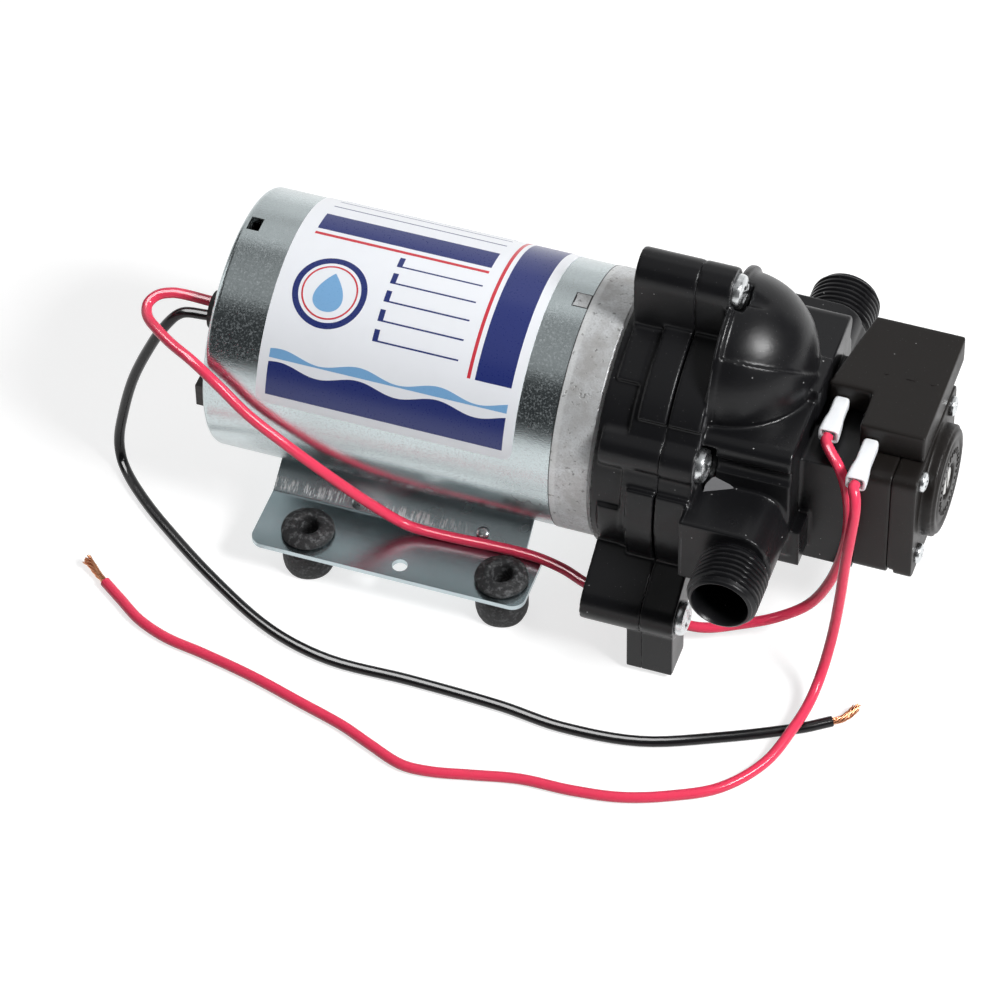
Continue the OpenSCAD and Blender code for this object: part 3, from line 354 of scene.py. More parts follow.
# Head radius, head height, shank radius and length of the screws
HEAD_SCREW = (5.1 * MM, 3.2 * MM, 2.05 * MM, 24 * MM)
SMALL_SCREW = (3 * MM, 1.8 * MM, 1.5 * MM, 24.4 * MM)
SCREW_SEAT_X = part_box("head_screws")[1].x - HEAD_SCREW[1]
FLASH_X = (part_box("lower_housing")[1].x, SCREW_SEAT_X)
MATERIALS = {
    "zinc_can": zinc("zinc_can", (0.52, 0.58, 0.59), 0.21, (1, 0.12, 0.12), 0.26),
    "zinc_sheet": zinc("zinc_sheet", (0.50, 0.575, 0.60), 0.22, (0.1, 1, 1), 0.06, SCUFF_SHEEN_AT),
    "screw_zinc": metal("screw_zinc", (0.70, 0.72, 0.73), 0.28),
    "adjuster_steel": metal("adjuster_steel", (0.72, 0.72, 0.70), 0.3),
    "cast_alloy": cast_metal("cast_alloy"),
    "head_plastic": moulded_plastic("head_plastic", (0.007, 0.007, 0.008), 0.31, 0.9, FLASH_X),
    "switch_plastic": moulded_plastic("switch_plastic", (0.0085, 0.0068, 0.006), 0.42, 0.6),
    "foot_rubber": rubber("foot_rubber", (0.014, 0.014, 0.015), (0.24, 0.245, 0.25), 0.42),
    "grommet_rubber": rubber("grommet_rubber", (0.05, 0.052, 0.05), (0.14, 0.14, 0.14), 0.4),
    "membrane_rubber": rubber("membrane_rubber", (0.016, 0.016, 0.017), (0.04, 0.04, 0.04), 0.3),
    "valve_rubber": rubber("valve_rubber", (0.09, 0.03, 0.025), (0.12, 0.05, 0.04), 0.3),
    "lead_red": insulation("lead_red", (0.86, 0.055, 0.12)),
    "lead_black": insulation("lead_black", (0.009, 0.009, 0.010)),
    "sleeve_nylon": nylon("sleeve_nylon", (0.88, 0.90, 0.93)),
    "nylon": nylon("nylon", (0.78, 0.75, 0.68)),
    "copper": metal("copper", (0.76, 0.36, 0.20), 0.3),
    "brass": metal("brass", (0.74, 0.56, 0.24), 0.3),
    "bronze": metal("bronze", (0.50, 0.33, 0.14), 0.45),
    "spring_steel": metal("spring_steel", (0.62, 0.63, 0.64), 0.28),
    "bearing_steel": metal("bearing_steel", (0.72, 0.73, 0.74), 0.14),
    "shaft_steel": metal("shaft_steel", (0.62, 0.63, 0.65), 0.22),
    "core_iron": metal("core_iron", (0.25, 0.235, 0.22), 0.45),
    "cam_alloy": metal("cam_alloy", (0.45, 0.47, 0.49), 0.4),
    "magnet": dull("magnet", (0.035, 0.035, 0.037)),
    "carbon": dull("carbon", (0.018, 0.018, 0.02), 0.5),
    "brush_board": dull("brush_board", (0.022, 0.018, 0.016), 0.5),
    "button_plastic": dull("button_plastic", (0.40, 0.035, 0.025), 0.4),
    "label": printed("label", (0.88, 0.90, 0.94)),
}
# Paler plastic for the gusset's face: wear, with the lamp's highlight painted in
WORN_AND_HIGHLIT_PLASTIC = dull("worn_and_highlit_plastic", (0.085, 0.085, 0.09), 0.42)
# Painted shade for the gap round the casting's key
GAP_SHADE = dull("gap_shade", (0.02, 0.02, 0.022), 0.7)
PRINT_NAVY = printed("print_navy", (0.018, 0.030, 0.165), 0.3)
PRINT_RED = printed("print_red", (0.62, 0.035, 0.055), 0.3)
PRINT_SKY = printed("print_sky", (0.20, 0.42, 0.70), 0.3)

SMOOTH_ANGLE = math.radians(32)


def smooth_by_angle(mesh):
    """Smooth faces, with sharp edges where two faces meet at more than the angle."""
    work = bmesh.new()
    work.from_mesh(mesh)
    for face in work.faces:
        face.smooth = True
    for edge in work.edges:
        edge.smooth = len(edge.link_faces) == 2 and edge.calc_face_angle(0) < SMOOTH_ANGLE
    work.to_mesh(mesh)
    work.free()


def dress_nodes():
    slot_of = {s["node"]: s["material_slot"] for s in frame["record"]["subparts"]}
    for name, node in NODES.items():
        node.data.materials.clear()
        node.data.materials.append(MATERIALS[slot_of[name]])


dress_nodes()


# New pieces

def finish_piece(piece, body, slot, *nodes, look=None):
    """Links a new piece, gives it a finish and a body, and hides the nodes it stands for."""
    if piece.name not in bpy.context.collection.objects:
        bpy.context.collection.objects.link(piece)
    piece.data.materials.clear()
    piece.data.materials.append(look or MATERIALS[slot])
    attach(piece, body)
    if nodes:
        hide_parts(*nodes)


def mesh_piece(name, verts, faces, smooth=True):
    mesh = bpy.data.meshes.new(name)
    mesh.from_pydata([tuple(v) for v in verts], [], faces)
    mesh.validate()
    work = bmesh.new()
    work.from_mesh(mesh)
    bmesh.ops.recalc_face_normals(work, faces=work.faces)
    work.to_mesh(mesh)
    work.free()
    if smooth:
        smooth_by_angle(mesh)
    return bpy.data.objects.new(name, mesh)


def ring_faces(rows, around, closed=False):
    """Quads between rings of points that follow one another, and back to the first if closed."""
    faces = []
    for r in range(rows if closed else rows - 1):
        here = r * around
        there = (r + 1) % rows * around
        for k in range(around):
            n = (k + 1) % around
            faces.append((here + k, here + n, there + n, there + k))
    return faces


def add_rings(verts, faces, rings):
    """Adds a closed skin over rings of points that follow one another, with a face at each end."""
    start = len(verts)
    around = len(rings[0])
    last = start + (len(rings) - 1) * around
    for ring in rings:
        verts += ring
    faces += [tuple(start + i for i in face) for face in ring_faces(len(rings), around)]
    faces += [tuple(range(start, start + around)), tuple(range(last, last + around))]


def thin_plate(name, top, bottom):
    """A closed plate between two grids of points, each a list of rows."""
    rows = len(top)
    cols = len(top[0])
    under = rows * cols
    verts = [v for row in top for v in row] + [v for row in bottom for v in row]
    faces = []
    for r in range(rows - 1):
        for c in range(cols - 1):
            a = r * cols + c
            faces.append((a, a + cols, a + cols + 1, a + 1))
            faces.append((under + a, under + a + 1, under + a + cols + 1, under + a + cols))
    edge = list(range(cols)) + [r * cols + cols - 1 for r in range(1, rows)]
    edge += [(rows - 1) * cols + c for c in range(cols - 2, -1, -1)]
    edge += [r * cols for r in range(rows - 2, 0, -1)]
    for a, b in zip(edge, edge[1:] + edge[:1]):
        faces.append((a, b, under + b, under + a))
    return mesh_piece(name, verts, faces)


# Leads, along the same points as the part's source, in millimetres

LEAD_D = 3.2 * MM
STRAND_D = 2.0 * MM
TERM_Z = 75.03
LINK_ROUTE = [
    (-66, -17, 73.2), (-68, -17, 73.2), (-75, -17, 73.4), (-79, -17.5, 73.4),
    (-83, -19, 72.6), (-85, -22, 71.2),
    (-83.5, -26, 70.4), (-79, -30, 70.4), (-73, -34, 70.2), (-65, -38, 69.5), (-56, -40.4, 64),
    (-47, -41.6, 56.2), (-35, -41.6, 47), (-23, -40, 36.4), (-12, -37, 25.4), (-2, -34.4, 17.2),
    (8, -33.6, 15.6), (23, -33, 15.6), (36, -33, 15.6), (46, -34.8, 15.4), (54, -37.4, 14.6),
    (62, -38, 12.8), (72, -38, 10.2), (82, -37.8, 7.8), (90, -36.4, 6.8), (99, -32.6, 7.4),
    (109, -28.6, 9.6), (118, -26.2, 16), (124, -25.8, 28), (127.4, -25.8, 42), (128.4, -25.6, 55),
    (127.2, -24.8, 66), (124.4, -23, 72.6), (120.2, -19.2, 75.2),
    (118.3, -16.2, TERM_Z), (118.3, -14.2, TERM_Z),
]
RED_ROUTE = [
    (130.7, -29.4, TERM_Z), (130.7, -31, TERM_Z),
    (131.8, -33, 73.4), (132.4, -34.8, 70), (132, -36, 62),
    (131, -37, 50), (130.2, -38, 36), (129, -40, 21), (127.6, -45, 9.6), (126.6, -53, 5.6),
    (125, -62.6, 5), (120.4, -76, 2.6), (111, -88, 1.7), (98, -95.6, 1.7), (85, -100.4, 1.7),
    (71, -102.4, 1.7), (56, -103, 1.7), (42, -106, 1.7), (31, -108.4, 1.7), (22, -108.6, 1.7),
    (11, -104.4, 1.7), (1, -100.2, 1.7), (-13, -96, 1.7), (-30, -91, 1.7), (-47, -87.2, 1.7),
    (-59, -85, 1.7), (-69, -81, 1.7), (-77, -75.4, 1.7), (-84, -70.4, 1.7),
]
RED_BARE = [(-84, -70.4, 1.7), (-86.8, -68.4, 1.7), (-90, -66, 2.4), (-92.4, -64.6, 3.4)]
BLACK_ROUTE = [
    (-66, -19.6, 69.8), (-68, -19.6, 69.8), (-75, -20.4, 69.2), (-80, -21.6, 63.6),
    (-86, -22, 52), (-92, -22, 37),
    (-96.4, -22, 20), (-98, -22.6, 9), (-96, -25.4, 2.8), (-88, -33.6, 1.7), (-75, -44.4, 1.7),
    (-53, -60, 1.7), (-31, -72.6, 1.7), (-11, -78, 1.7), (14, -78, 1.7), (42, -79, 1.7),
    (61, -81, 1.7), (84, -79, 1.7), (105, -70.6, 1.7), (126, -60, 1.7), (134, -54.6, 1.7),
]
BLACK_BARE = [(134, -54.6, 1.7), (136.4, -52.98, 1.7), (138.4, -50.2, 2.2), (139.6, -47.4, 3)]
CURVE_STEPS = 6


def flowing(route):
    """A smooth line in metres through given points, in short straight steps."""
    points = [Vector(p) * MM for p in route]
    line = []
    for i in range(len(points) - 1):
        before = points[max(i - 1, 0)]
        here = points[i]
        there = points[i + 1]
        after = points[min(i + 2, len(points) - 1)]
        span = (there - here).length
        lead_in = (there - before) * (span / max((here - before).length + span, 1e-9))
        lead_out = (after - here) * (span / max((after - there).length + span, 1e-9))
        for k in range(CURVE_STEPS):
            t = k / CURVE_STEPS
            line.append((2 * t**3 - 3 * t**2 + 1) * here + (t**3 - 2 * t**2 + t) * lead_in
                        + (3 * t**2 - 2 * t**3) * there + (t**3 - t**2) * lead_out)
    line.append(points[-1])
    return line


def tube(name, lines, radius):
    """A curve piece with one open spline for each line."""
    data = bpy.data.curves.new(name, "CURVE")
    data.dimensions = "3D"
    data.bevel_depth = radius
    data.bevel_resolution = 5
    data.use_fill_caps = True
    for line in lines:
        spline = data.splines.new("POLY")
        spline.points.add(len(line) - 1)
        for point, place in zip(spline.points, line):
            point.co = (*place, 1)
        spline.use_smooth = True
    return bpy.data.objects.new(name, data)


WIRE_COUNT = 17
# The middle wire and the five round it
CORE_WIRES = 6
INNER_RING = 0.42
OUTER_RING = 0.8
WIRE_R = STRAND_D * 0.1
# Turn of the wires from root to tip and how far each wanders from it, in radians
TWIST = 2.2
WANDER = 0.4
WANDER_RATE = 8
# Width of the bundle at its root, and the least and the added growth of it at the tip
LOOSE = 1.05
FRAY_LEAST = 0.3
FRAY_MORE = 0.6
CUT_STEPS = 3


def frayed(name, route, seed):
    """Thin copper wires that twist round the route and spread a little at its end."""
    draw = random.Random(seed)
    middle = flowing(route)
    lines = []
    for w in range(WIRE_COUNT):
        if w == 0:
            ring = 0.0
        else:
            ring = INNER_RING if w < CORE_WIRES else OUTER_RING
        phase = 2 * math.pi * w / (CORE_WIRES - 1 if w < CORE_WIRES else WIRE_COUNT - CORE_WIRES)
        fray = FRAY_LEAST + FRAY_MORE * draw.random()
        line = []
        for i, place in enumerate(middle):
            t = i / (len(middle) - 1)
            along = (middle[min(i + 1, len(middle) - 1)] - middle[max(i - 1, 0)]).normalized()
            side = along.cross(Vector((0, 0, 1))).normalized()
            over = side.cross(along)
            turn = phase + TWIST * t + WANDER * math.sin(WANDER_RATE * t + w)
            out = ring * STRAND_D / 2 * (LOOSE + fray * t * t)
            line.append(place + (side * math.cos(turn) + over * math.sin(turn)) * out)
        cut = len(line) - draw.randrange(CUT_STEPS)
        lines.append(line[:cut])
    return tube(name, lines, WIRE_R)


red_wires = frayed("red_lead_strands", RED_BARE, 4)
finish_piece(red_wires, "pump", "copper", "red_strands")
black_wires = frayed("black_lead_strands", BLACK_BARE, 9)
finish_piece(black_wires, "pump", "copper", "black_strands")


def lead(name, route, slot, node):
    line = flowing(route)
    piece = tube(name, [line], LEAD_D / 2)
    finish_piece(piece, "pump", slot, node)
    return piece


link_wire = lead("link_lead_wire", LINK_ROUTE, "lead_red", "link_lead")
lead("red_lead_wire", RED_ROUTE, "lead_red", "red_lead")
black_wire = lead("black_lead_wire", BLACK_ROUTE, "lead_black", "black_lead")
GLOSSY_LEADS = (link_wire, black_wire)


# Moulded housings: the frame's own solids with rounded edges and filleted corners

def copied(node):
    mesh = NODES[node].data.copy()
    work = bmesh.new()
    work.from_mesh(mesh)
    bmesh.ops.remove_doubles(work, verts=work.verts, dist=1e-6)
    work.to_mesh(mesh)
    work.free()
    return mesh


def settled(piece):
    """The piece with its modifiers turned into plain mesh."""
    bpy.context.view_layer.update()
    done = piece.evaluated_get(bpy.context.evaluated_depsgraph_get())
    mesh = bpy.data.meshes.new_from_object(done)
    piece.modifiers.clear()
    piece.data = mesh


KEPT_FACES = 0.35


def moulded(node, voxel, smoothing, cuts=()):
    """A copy of a node whose edges and inner corners are rounded, as a moulding's are."""
    piece = bpy.data.objects.new(node + "_moulding", copied(node))
    bpy.context.collection.objects.link(piece)
    for cut in cuts:
        trim = piece.modifiers.new("trim", "BOOLEAN")
        trim.operation = "DIFFERENCE"
        trim.object = cut
        trim.solver = "EXACT"
    skin = piece.modifiers.new("skin", "REMESH")
    skin.mode = "VOXEL"
    skin.voxel_size = voxel
    soften = piece.modifiers.new("soften", "SMOOTH")
    soften.factor = 0.5
    soften.iterations = smoothing
    thin = piece.modifiers.new("thin", "DECIMATE")
    thin.ratio = KEPT_FACES
    settled(piece)
    for face in piece.data.polygons:
        face.use_smooth = True
    return piece


def slab(name, low, high):
    """A plain box that only trims another piece."""
    xs, ys, zs = zip(low, high)
    corners = [(x, y, z) for x in xs for y in ys for z in zs]
    faces = [(0, 1, 3, 2), (4, 6, 7, 5), (0, 4, 5, 1), (2, 3, 7, 6), (0, 2, 6, 4), (1, 5, 7, 3)]
    piece = mesh_piece(name, corners, faces, smooth=False)
    bpy.context.collection.objects.link(piece)
    return piece


PORT = next(m for m in frame["record"]["mounts"] if m["name"] == "outlet_thread")
PORT_X, _, PORT_Z = PORT["pos_m"]
THREAD_R = PORT["dims"]["r_mm"] * MM
PORT_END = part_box("upper_housing")[1].y
THREAD_PITCH = 1.814 * MM
THREAD_DEPTH = 1.15 * MM
THREAD_ROOT = THREAD_R - THREAD_DEPTH
THREAD_LEN = 15.4 * MM
BORE_R = 8.0 * MM
THREAD_START = PORT_END - THREAD_LEN
PORT_ROUND = 72
ROWS_A_TURN = 8
# Place of the crest and width of a flank, in shares of the pitch
CREST_AT = 0.48
FLANK = 0.30
RUN_IN = 1.2 * THREAD_PITCH
RUN_OUT = 0.9 * THREAD_PITCH
PLAIN_END = 0.7 * MM
BEVEL_START = 0.45 * MM
# The bevelled mouth and the bore behind it: room outside the bore and distance from the end, in millimetres
PORT_MOUTH = [(0.85, 0.12), (0.62, 0), (0.42, 0.05), (0.2, 0.5), (0, 1.2), (0, 8)]


def thread_radius(along, turn):
    """Radius of the thread's helix at a distance from the shoulder and a share of a turn."""
    phase = (along / THREAD_PITCH - turn) % 1.0
    crest = min(1.0, max(0.0, (0.5 - abs(phase - CREST_AT)) / FLANK))
    run_in = along / RUN_IN
    run_out = (THREAD_LEN - PLAIN_END - along) / RUN_OUT
    return THREAD_ROOT + THREAD_DEPTH * crest * max(0.0, min(1.0, run_in, run_out))


def threaded_port(name, side):
    """One port's threaded end with a true helix and an open bore, on the +Y or -Y side."""
    steps = int(THREAD_LEN / THREAD_PITCH * ROWS_A_TURN)
    rows = [[(THREAD_ROOT, 0.0)] * PORT_ROUND]
    for i in range(1, steps):
        along = (THREAD_LEN - BEVEL_START) * i / (steps - 1)
        rows.append([(thread_radius(along, k / PORT_ROUND), along) for k in range(PORT_ROUND)])
    for more, back in PORT_MOUTH:
        rows.append([(BORE_R + more * MM, THREAD_LEN - back * MM)] * PORT_ROUND)
    # Back to the shoulder, where the moulding's own bore goes on
    rows.append([(BORE_R, 0.0)] * PORT_ROUND)
    verts = []
    for ring in rows:
        for k, (radius, along) in enumerate(ring):
            a = 2 * math.pi * k / PORT_ROUND * -side
            verts.append((PORT_X + radius * math.cos(a), side * (THREAD_START + along),
                          PORT_Z + radius * math.sin(a)))
    piece = mesh_piece(name, verts, ring_faces(len(rows), PORT_ROUND, closed=True))
    finish_piece(piece, "pump", "head_plastic")


# A small gusset under the front middle screw, its face painted pale, partly as wear and partly as the lamp's
# highlight: a corner, the ways along and up its face, the face's outline in shares of them, and a point behind
GUSSET_FOOT = Vector((88.2, -35.3, 63.5)) * MM
GUSSET_ALONG = Vector((8.5, 4.1, 0)) * MM
GUSSET_UP = Vector((0.3, 4.3, 3)) * MM
GUSSET_FACE = ((0, 0), (1, 0), (0.93, 0.22), (0.78, 0.5), (0.55, 0.74), (0.3, 0.86), (0.12, 0.74), (0, 0.4))
GUSSET_BACK = Vector((88.3, -30.5, 63)) * MM


def make_gusset():
    verts = [GUSSET_FOOT + GUSSET_ALONG * a + GUSSET_UP * b for a, b in GUSSET_FACE]
    last = len(verts)
    verts.append(GUSSET_BACK)
    faces = [tuple(range(last))] + [((k + 1) % last, k, last) for k in range(last)]
    gusset = mesh_piece("screw_gusset", verts, faces, smooth=False)
    finish_piece(gusset, "pump", "head_plastic", look=WORN_AND_HIGHLIT_PLASTIC)


HEAD_VOXEL = 0.5 * MM
HEAD_SMOOTHING = 4
COVER_SLOT = Vector((2, 2.4, 3.2)) * MM
# How far the moulding goes on under the start of a thread
TRIM_LAP = 0.3 * MM


def make_head():
    room = 1 * MM
    reach = THREAD_R + room
    trims = []
    for side in (-1, 1):
        near = side * (THREAD_START + TRIM_LAP)
        far = side * (PORT_END + room)
        trims.append(slab("port_trim", (PORT_X - reach, min(near, far), PORT_Z - reach),
                          (PORT_X + reach, max(near, far), PORT_Z + reach)))
    upper = moulded("upper_housing", HEAD_VOXEL, HEAD_SMOOTHING, trims)
    for trim in trims:
        bpy.data.objects.remove(trim)
    finish_piece(upper, "pump", "head_plastic", "upper_housing")
    lower = moulded("lower_housing", HEAD_VOXEL, HEAD_SMOOTHING)
    finish_piece(lower, "pump", "head_plastic", "lower_housing")
    threaded_port("inlet_thread_end", -1)
    threaded_port("outlet_thread_end", 1)
    make_gusset()
    # A small slot in the cover's lower edge
    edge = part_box("switch_cover")[0]
    slot_trim = slab("slot_trim", edge - Vector((room, room, room)), edge + COVER_SLOT)
    switch_pieces = (
        # Node, voxel in millimetres, rounds of smoothing, what is cut away
        ("switch_housing", 0.35, 6, ()),
        ("switch_cover", 0.35, 9, (slot_trim,)),
        ("snap_switch_case", 0.5, 22, ()),
    )
    for node, voxel, smoothing, cuts in switch_pieces:
        piece = moulded(node, voxel * MM, smoothing, cuts)
        finish_piece(piece, "pump", "switch_plastic", node)
    bpy.data.objects.remove(slot_trim)


make_head()


# Label with a generic print, drawn as thin plates that bend round the can

LABEL_LEN = LABEL_HIGH.x - LABEL_LOW.x
LABEL_HALF = math.radians(79)
LABEL_ROUND = 2 * LABEL_HALF * LABEL_R
LABEL_T = 0.18 * MM
LABEL_CORNER = 3 * MM
PRINT_LIFT = 0.03 * MM


def wrapped(u, v, lift):
    """A point on the can: u along it from the label's rear edge, v round it from the front edge."""
    t = v / LABEL_R - LABEL_HALF
    r = LABEL_R + lift
    return (LABEL_LOW.x + u, r * math.sin(t), AXIS_Z + r * math.cos(t))


def wrapped_plate(name, shape, rows, cols, lift, depth):
    """shape(s, w) gives u and v for shares s and w from 0 to 1."""
    grid = [[shape(r / (rows - 1), c / (cols - 1)) for c in range(cols)] for r in range(rows)]
    top = [[wrapped(u, v, lift) for u, v in row] for row in grid]
    bottom = [[wrapped(u, v, lift - depth) for u, v in row] for row in grid]
    return thin_plate(name, top, bottom)


def label_shape(s, w):
    u = LABEL_LEN * (0.5 - 0.5 * math.cos(math.pi * s))
    end = min(u, LABEL_LEN - u)
    inset = 0
    if end < LABEL_CORNER:
        inset = LABEL_CORNER - math.sqrt(max(0, LABEL_CORNER**2 - (LABEL_CORNER - end)**2))
    return u, inset + (LABEL_ROUND - 2 * inset) * w


def block_shape(u0, u1, v0, v1):
    return lambda s, w: ((u0 + (u1 - u0) * s) * MM, (v0 + (v1 - v0) * w) * MM)


def wave_shape(u0, u1, v0, v1, height, length):
    """A stripe along the can whose upper edge is a wave."""
    def shape(s, w):
        u = u0 + (u1 - u0) * s
        top = v1 + height * math.sin(2 * math.pi * u / length)
        return u * MM, (v0 + (top - v0) * w) * MM
    return shape


def ring_shape(u0, v0, r0, r1):
    def shape(s, w):
        a = 2 * math.pi * s * 0.9999
        r = r0 + (r1 - r0) * w
        return (u0 + r * math.sin(a)) * MM, (v0 + r * math.cos(a)) * MM
    return shape


def drop_shape(u0, v0, height):
    """A water drop with its tip up the can."""
    def shape(s, w):
        half = 0.95 * height * s * (1 - s * s) + 0.02
        return (u0 + half * (2 * w - 1)) * MM, (v0 + height * s * s) * MM
    return shape


def make_label():
    label = wrapped_plate("label_sheet", label_shape, 61, 97, 0, LABEL_T)
    finish_piece(label, "pump", "label", "rating_label")
    prints = [
        # Name, shape in millimetres, points along and across, ink
        ("print_foot_band", wave_shape(3, 75, 3, 12.5, 1.2, 24), 73, 9, PRINT_NAVY),
        ("print_wave_low", wave_shape(3, 75, 14.6, 16.4, 1.2, 24), 73, 3, PRINT_SKY),
        ("print_side_band", block_shape(64, 75, 22, 104), 3, 75, PRINT_NAVY),
        ("print_side_rule", block_shape(61.6, 62.6, 22, 104), 2, 75, PRINT_RED),
        ("print_ring", ring_shape(16, 37, 9.2, 11), 65, 3, PRINT_NAVY),
        ("print_ring_thin", ring_shape(16, 37, 7.8, 8.3), 65, 2, PRINT_RED),
        ("print_drop", drop_shape(16, 31, 12), 33, 9, PRINT_SKY),
        ("print_head_bar", block_shape(5, 58, 58, 66), 3, 9, PRINT_NAVY),
        ("print_head_rule", block_shape(5, 58, 55.4, 56.4), 3, 2, PRINT_RED),
    ]
    for i, v in enumerate((26, 32, 38, 44, 50)):
        prints.append((f"print_field_{i}", block_shape(32, 58, v, v + 0.5), 9, 2, PRINT_NAVY))
        prints.append((f"print_stop_{i}", block_shape(32, 33.6, v + 0.5, v + 3.6), 3, 5, PRINT_NAVY))
    for i, v in enumerate((72, 78, 84, 90, 96)):
        prints.append((f"print_row_{i}", block_shape(5, 58, v, v + 0.5), 9, 2, PRINT_NAVY))
    for name, shape, rows, cols, material in prints:
        piece = wrapped_plate(name, shape, rows, cols, PRINT_LIFT, 2 * PRINT_LIFT)
        finish_piece(piece, "pump", "label", look=material)


make_label()


# Painted shade as dark strips in the gap round the casting's key in the can's front edge, and the bracket's bright
# weld marks

# In millimetres, as the label's own print
KEY_GAP = 0.5
KEY_HALF = 2.8
KEY_LENGTH = 4.8
KEY_GAP_DEPTH = 0.12 * MM


def make_key_gap():
    u = (CAN_END - LABEL_LOW.x) / MM
    v = LABEL_HALF * LABEL_R / MM
    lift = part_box("motor_can")[1].z - AXIS_Z - LABEL_R + PRINT_LIFT
    gap = KEY_GAP
    half = KEY_HALF
    rear = u - KEY_LENGTH
    strips = (
        ("key_gap_rear", block_shape(rear, rear + gap, v - half, v + half)),
        ("key_gap_front", block_shape(rear, u, v - half, v - half + gap)),
        ("key_gap_back", block_shape(rear, u, v + half - gap, v + half)),
    )
    for name, shape in strips:
        piece = wrapped_plate(name, shape, 3, 7, lift, KEY_GAP_DEPTH)
        finish_piece(piece, "pump", "zinc_can", look=GAP_SHADE)


WELD_ROUND = 32
WELD_RINGS = 9
WELD_R = 2.1 * MM
WELD_H = 1.1 * MM
WELD_AT = Vector((19.4, 28.68, 15.01)) * MM
WELD_LEAN = math.radians(34.5)


def make_weld_marks():
    """Low domes over the four weld marks, square to the sloping web."""
    verts = []
    faces = []
    for side_x in (-1, 1):
        for side_y in (-1, 1):
            out = Vector((0, side_y * math.sin(WELD_LEAN), math.cos(WELD_LEAN)))
            across = out.cross(Vector((1, 0, 0)))
            middle = Vector((side_x * WELD_AT.x, side_y * WELD_AT.y, WELD_AT.z))
            rings = []
            for r in range(1, WELD_RINGS + 1):
                tip = 0.5 * math.pi * r / WELD_RINGS
                ring = []
                for k in range(WELD_ROUND):
                    a = 2 * math.pi * k / WELD_ROUND
                    flat = Vector((math.cos(a), 0, 0)) + across * math.sin(a)
                    ring.append(middle + flat * WELD_R * math.sin(tip) + out * WELD_H * math.cos(tip))
                rings.append(ring)
            add_rings(verts, faces, rings)
    marks = mesh_piece("weld_mark_set", verts, faces)
    finish_piece(marks, "pump", "zinc_sheet", look=MATERIALS["screw_zinc"])


make_key_gap()
make_weld_marks()


# Rubber feet: smooth turned shapes in millimetres of radius and height, slightly uneven

FOOT_PROFILE = [
    (3.7, 0), (6.4, 0), (7.1, 0.4), (7.6, 1.6), (7.9, 3.4), (8, 6), (7.95, 9.2), (7.7, 10.8), (7.1, 11.9),
    (6.4, 12.05), (5.2, 12.05), (5.2, 13.69), (6.6, 13.69), (7.4, 13.8), (7.9, 14.3), (8, 15), (7.8, 15.7),
    (7.2, 16.2), (6.5, 16.45), (6, 16.55), (5.6, 16.75), (5.1, 17.05), (4.5, 17.16), (3.9, 17), (3.5, 16.6),
    (3.2, 15.8), (3.2, 8), (3.2, 1), (3.35, 0.4),
]
FOOT_ROUND = 72
FOOT_WAVES = 4
FOOT_WAVE_LEAN = 0.7
# In millimetres: the waves' height, how far free rubber stays inside its solid, and where it is held
FOOT_UNEVEN = 0.025
FOOT_INSET = 0.08
FOOT_HELD_R = 5.5
FOOT_HELD_H = 0.3
FIRST_FOOT_SEED = 20
FOOT_NODES = ("foot_front_rear", "foot_front_head", "foot_back_rear", "foot_back_head")


def foot(node, seed):
    draw = random.Random(seed)
    low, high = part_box(node)
    middle = (low + high) / 2
    waves = [(draw.randrange(2, 7), draw.random() * 2 * math.pi) for _ in range(FOOT_WAVES)]
    verts = []
    for r, h in FOOT_PROFILE:
        for k in range(FOOT_ROUND):
            a = 2 * math.pi * k / FOOT_ROUND
            uneven = sum(math.sin(n * a + shift + h * FOOT_WAVE_LEAN) for n, shift in waves) * FOOT_UNEVEN
            free = r > FOOT_HELD_R and h > FOOT_HELD_H
            radius = (r + (uneven - FOOT_INSET if free else 0)) * MM
            verts.append((middle.x + radius * math.cos(a), middle.y + radius * math.sin(a), h * MM))
    piece = mesh_piece(node + "_rubber", verts, ring_faces(len(FOOT_PROFILE), FOOT_ROUND, closed=True))
    finish_piece(piece, "pump", "foot_rubber", node)


for i, node in enumerate(FOOT_NODES):
    foot(node, FIRST_FOOT_SEED + i)


# Pan-head screws with a domed head and a cross recess

HEAD_RINGS = 20
HEAD_ROUND = 64
# Shares of the head's radius: half width and half length of the recess, and its soft edge
RECESS_HALF = 0.15
RECESS_LONG = 0.56
RECESS_SOFT = 0.18
# Shares of the head's height
RECESS_DEPTH = 0.3
DOME_DROP = 0.40


def recess(a, b, r_head):
    """Depth share of a cross recess at a place on the head."""
    half = RECESS_HALF * r_head
    long = RECESS_LONG * r_head
    soft = RECESS_SOFT * r_head

    def bar(p, q):
        side = min(1, max(0, (half - abs(p)) / soft + 0.5))
        end = min(1, max(0, (long - abs(q)) / soft + 0.5))
        return side * end
    return max(bar(a, b), bar(b, a))


def screw_rings(r_head, h_head, r_shank, length, turn):
    """Rings of (a, b, height) from the head's middle to the shank's end."""
    rings = []
    for i in range(HEAD_RINGS):
        share = 0.02 + 0.92 * i / (HEAD_RINGS - 1)
        ring = []
        for k in range(HEAD_ROUND):
            angle = 2 * math.pi * k / HEAD_ROUND
            r = r_head * share
            cut = recess(r * math.cos(angle + turn), r * math.sin(angle + turn), r_head)
            height = h_head * (1 - DOME_DROP * share**3 - RECESS_DEPTH * cut)
            ring.append((r * math.cos(angle), r * math.sin(angle), height))
        rings.append(ring)
    outline = [(0.985 * r_head, 0.47 * h_head), (r_head, 0.32 * h_head), (r_head, 0.1 * h_head),
               (0.985 * r_head, 0.015 * h_head), (r_shank, 0.01 * h_head), (r_shank, -length),
               (0.02 * r_shank, -length)]
    angles = [2 * math.pi * k / HEAD_ROUND for k in range(HEAD_ROUND)]
    for r, h in outline:
        rings.append([(r * math.cos(a), r * math.sin(a), h) for a in angles])
    return rings


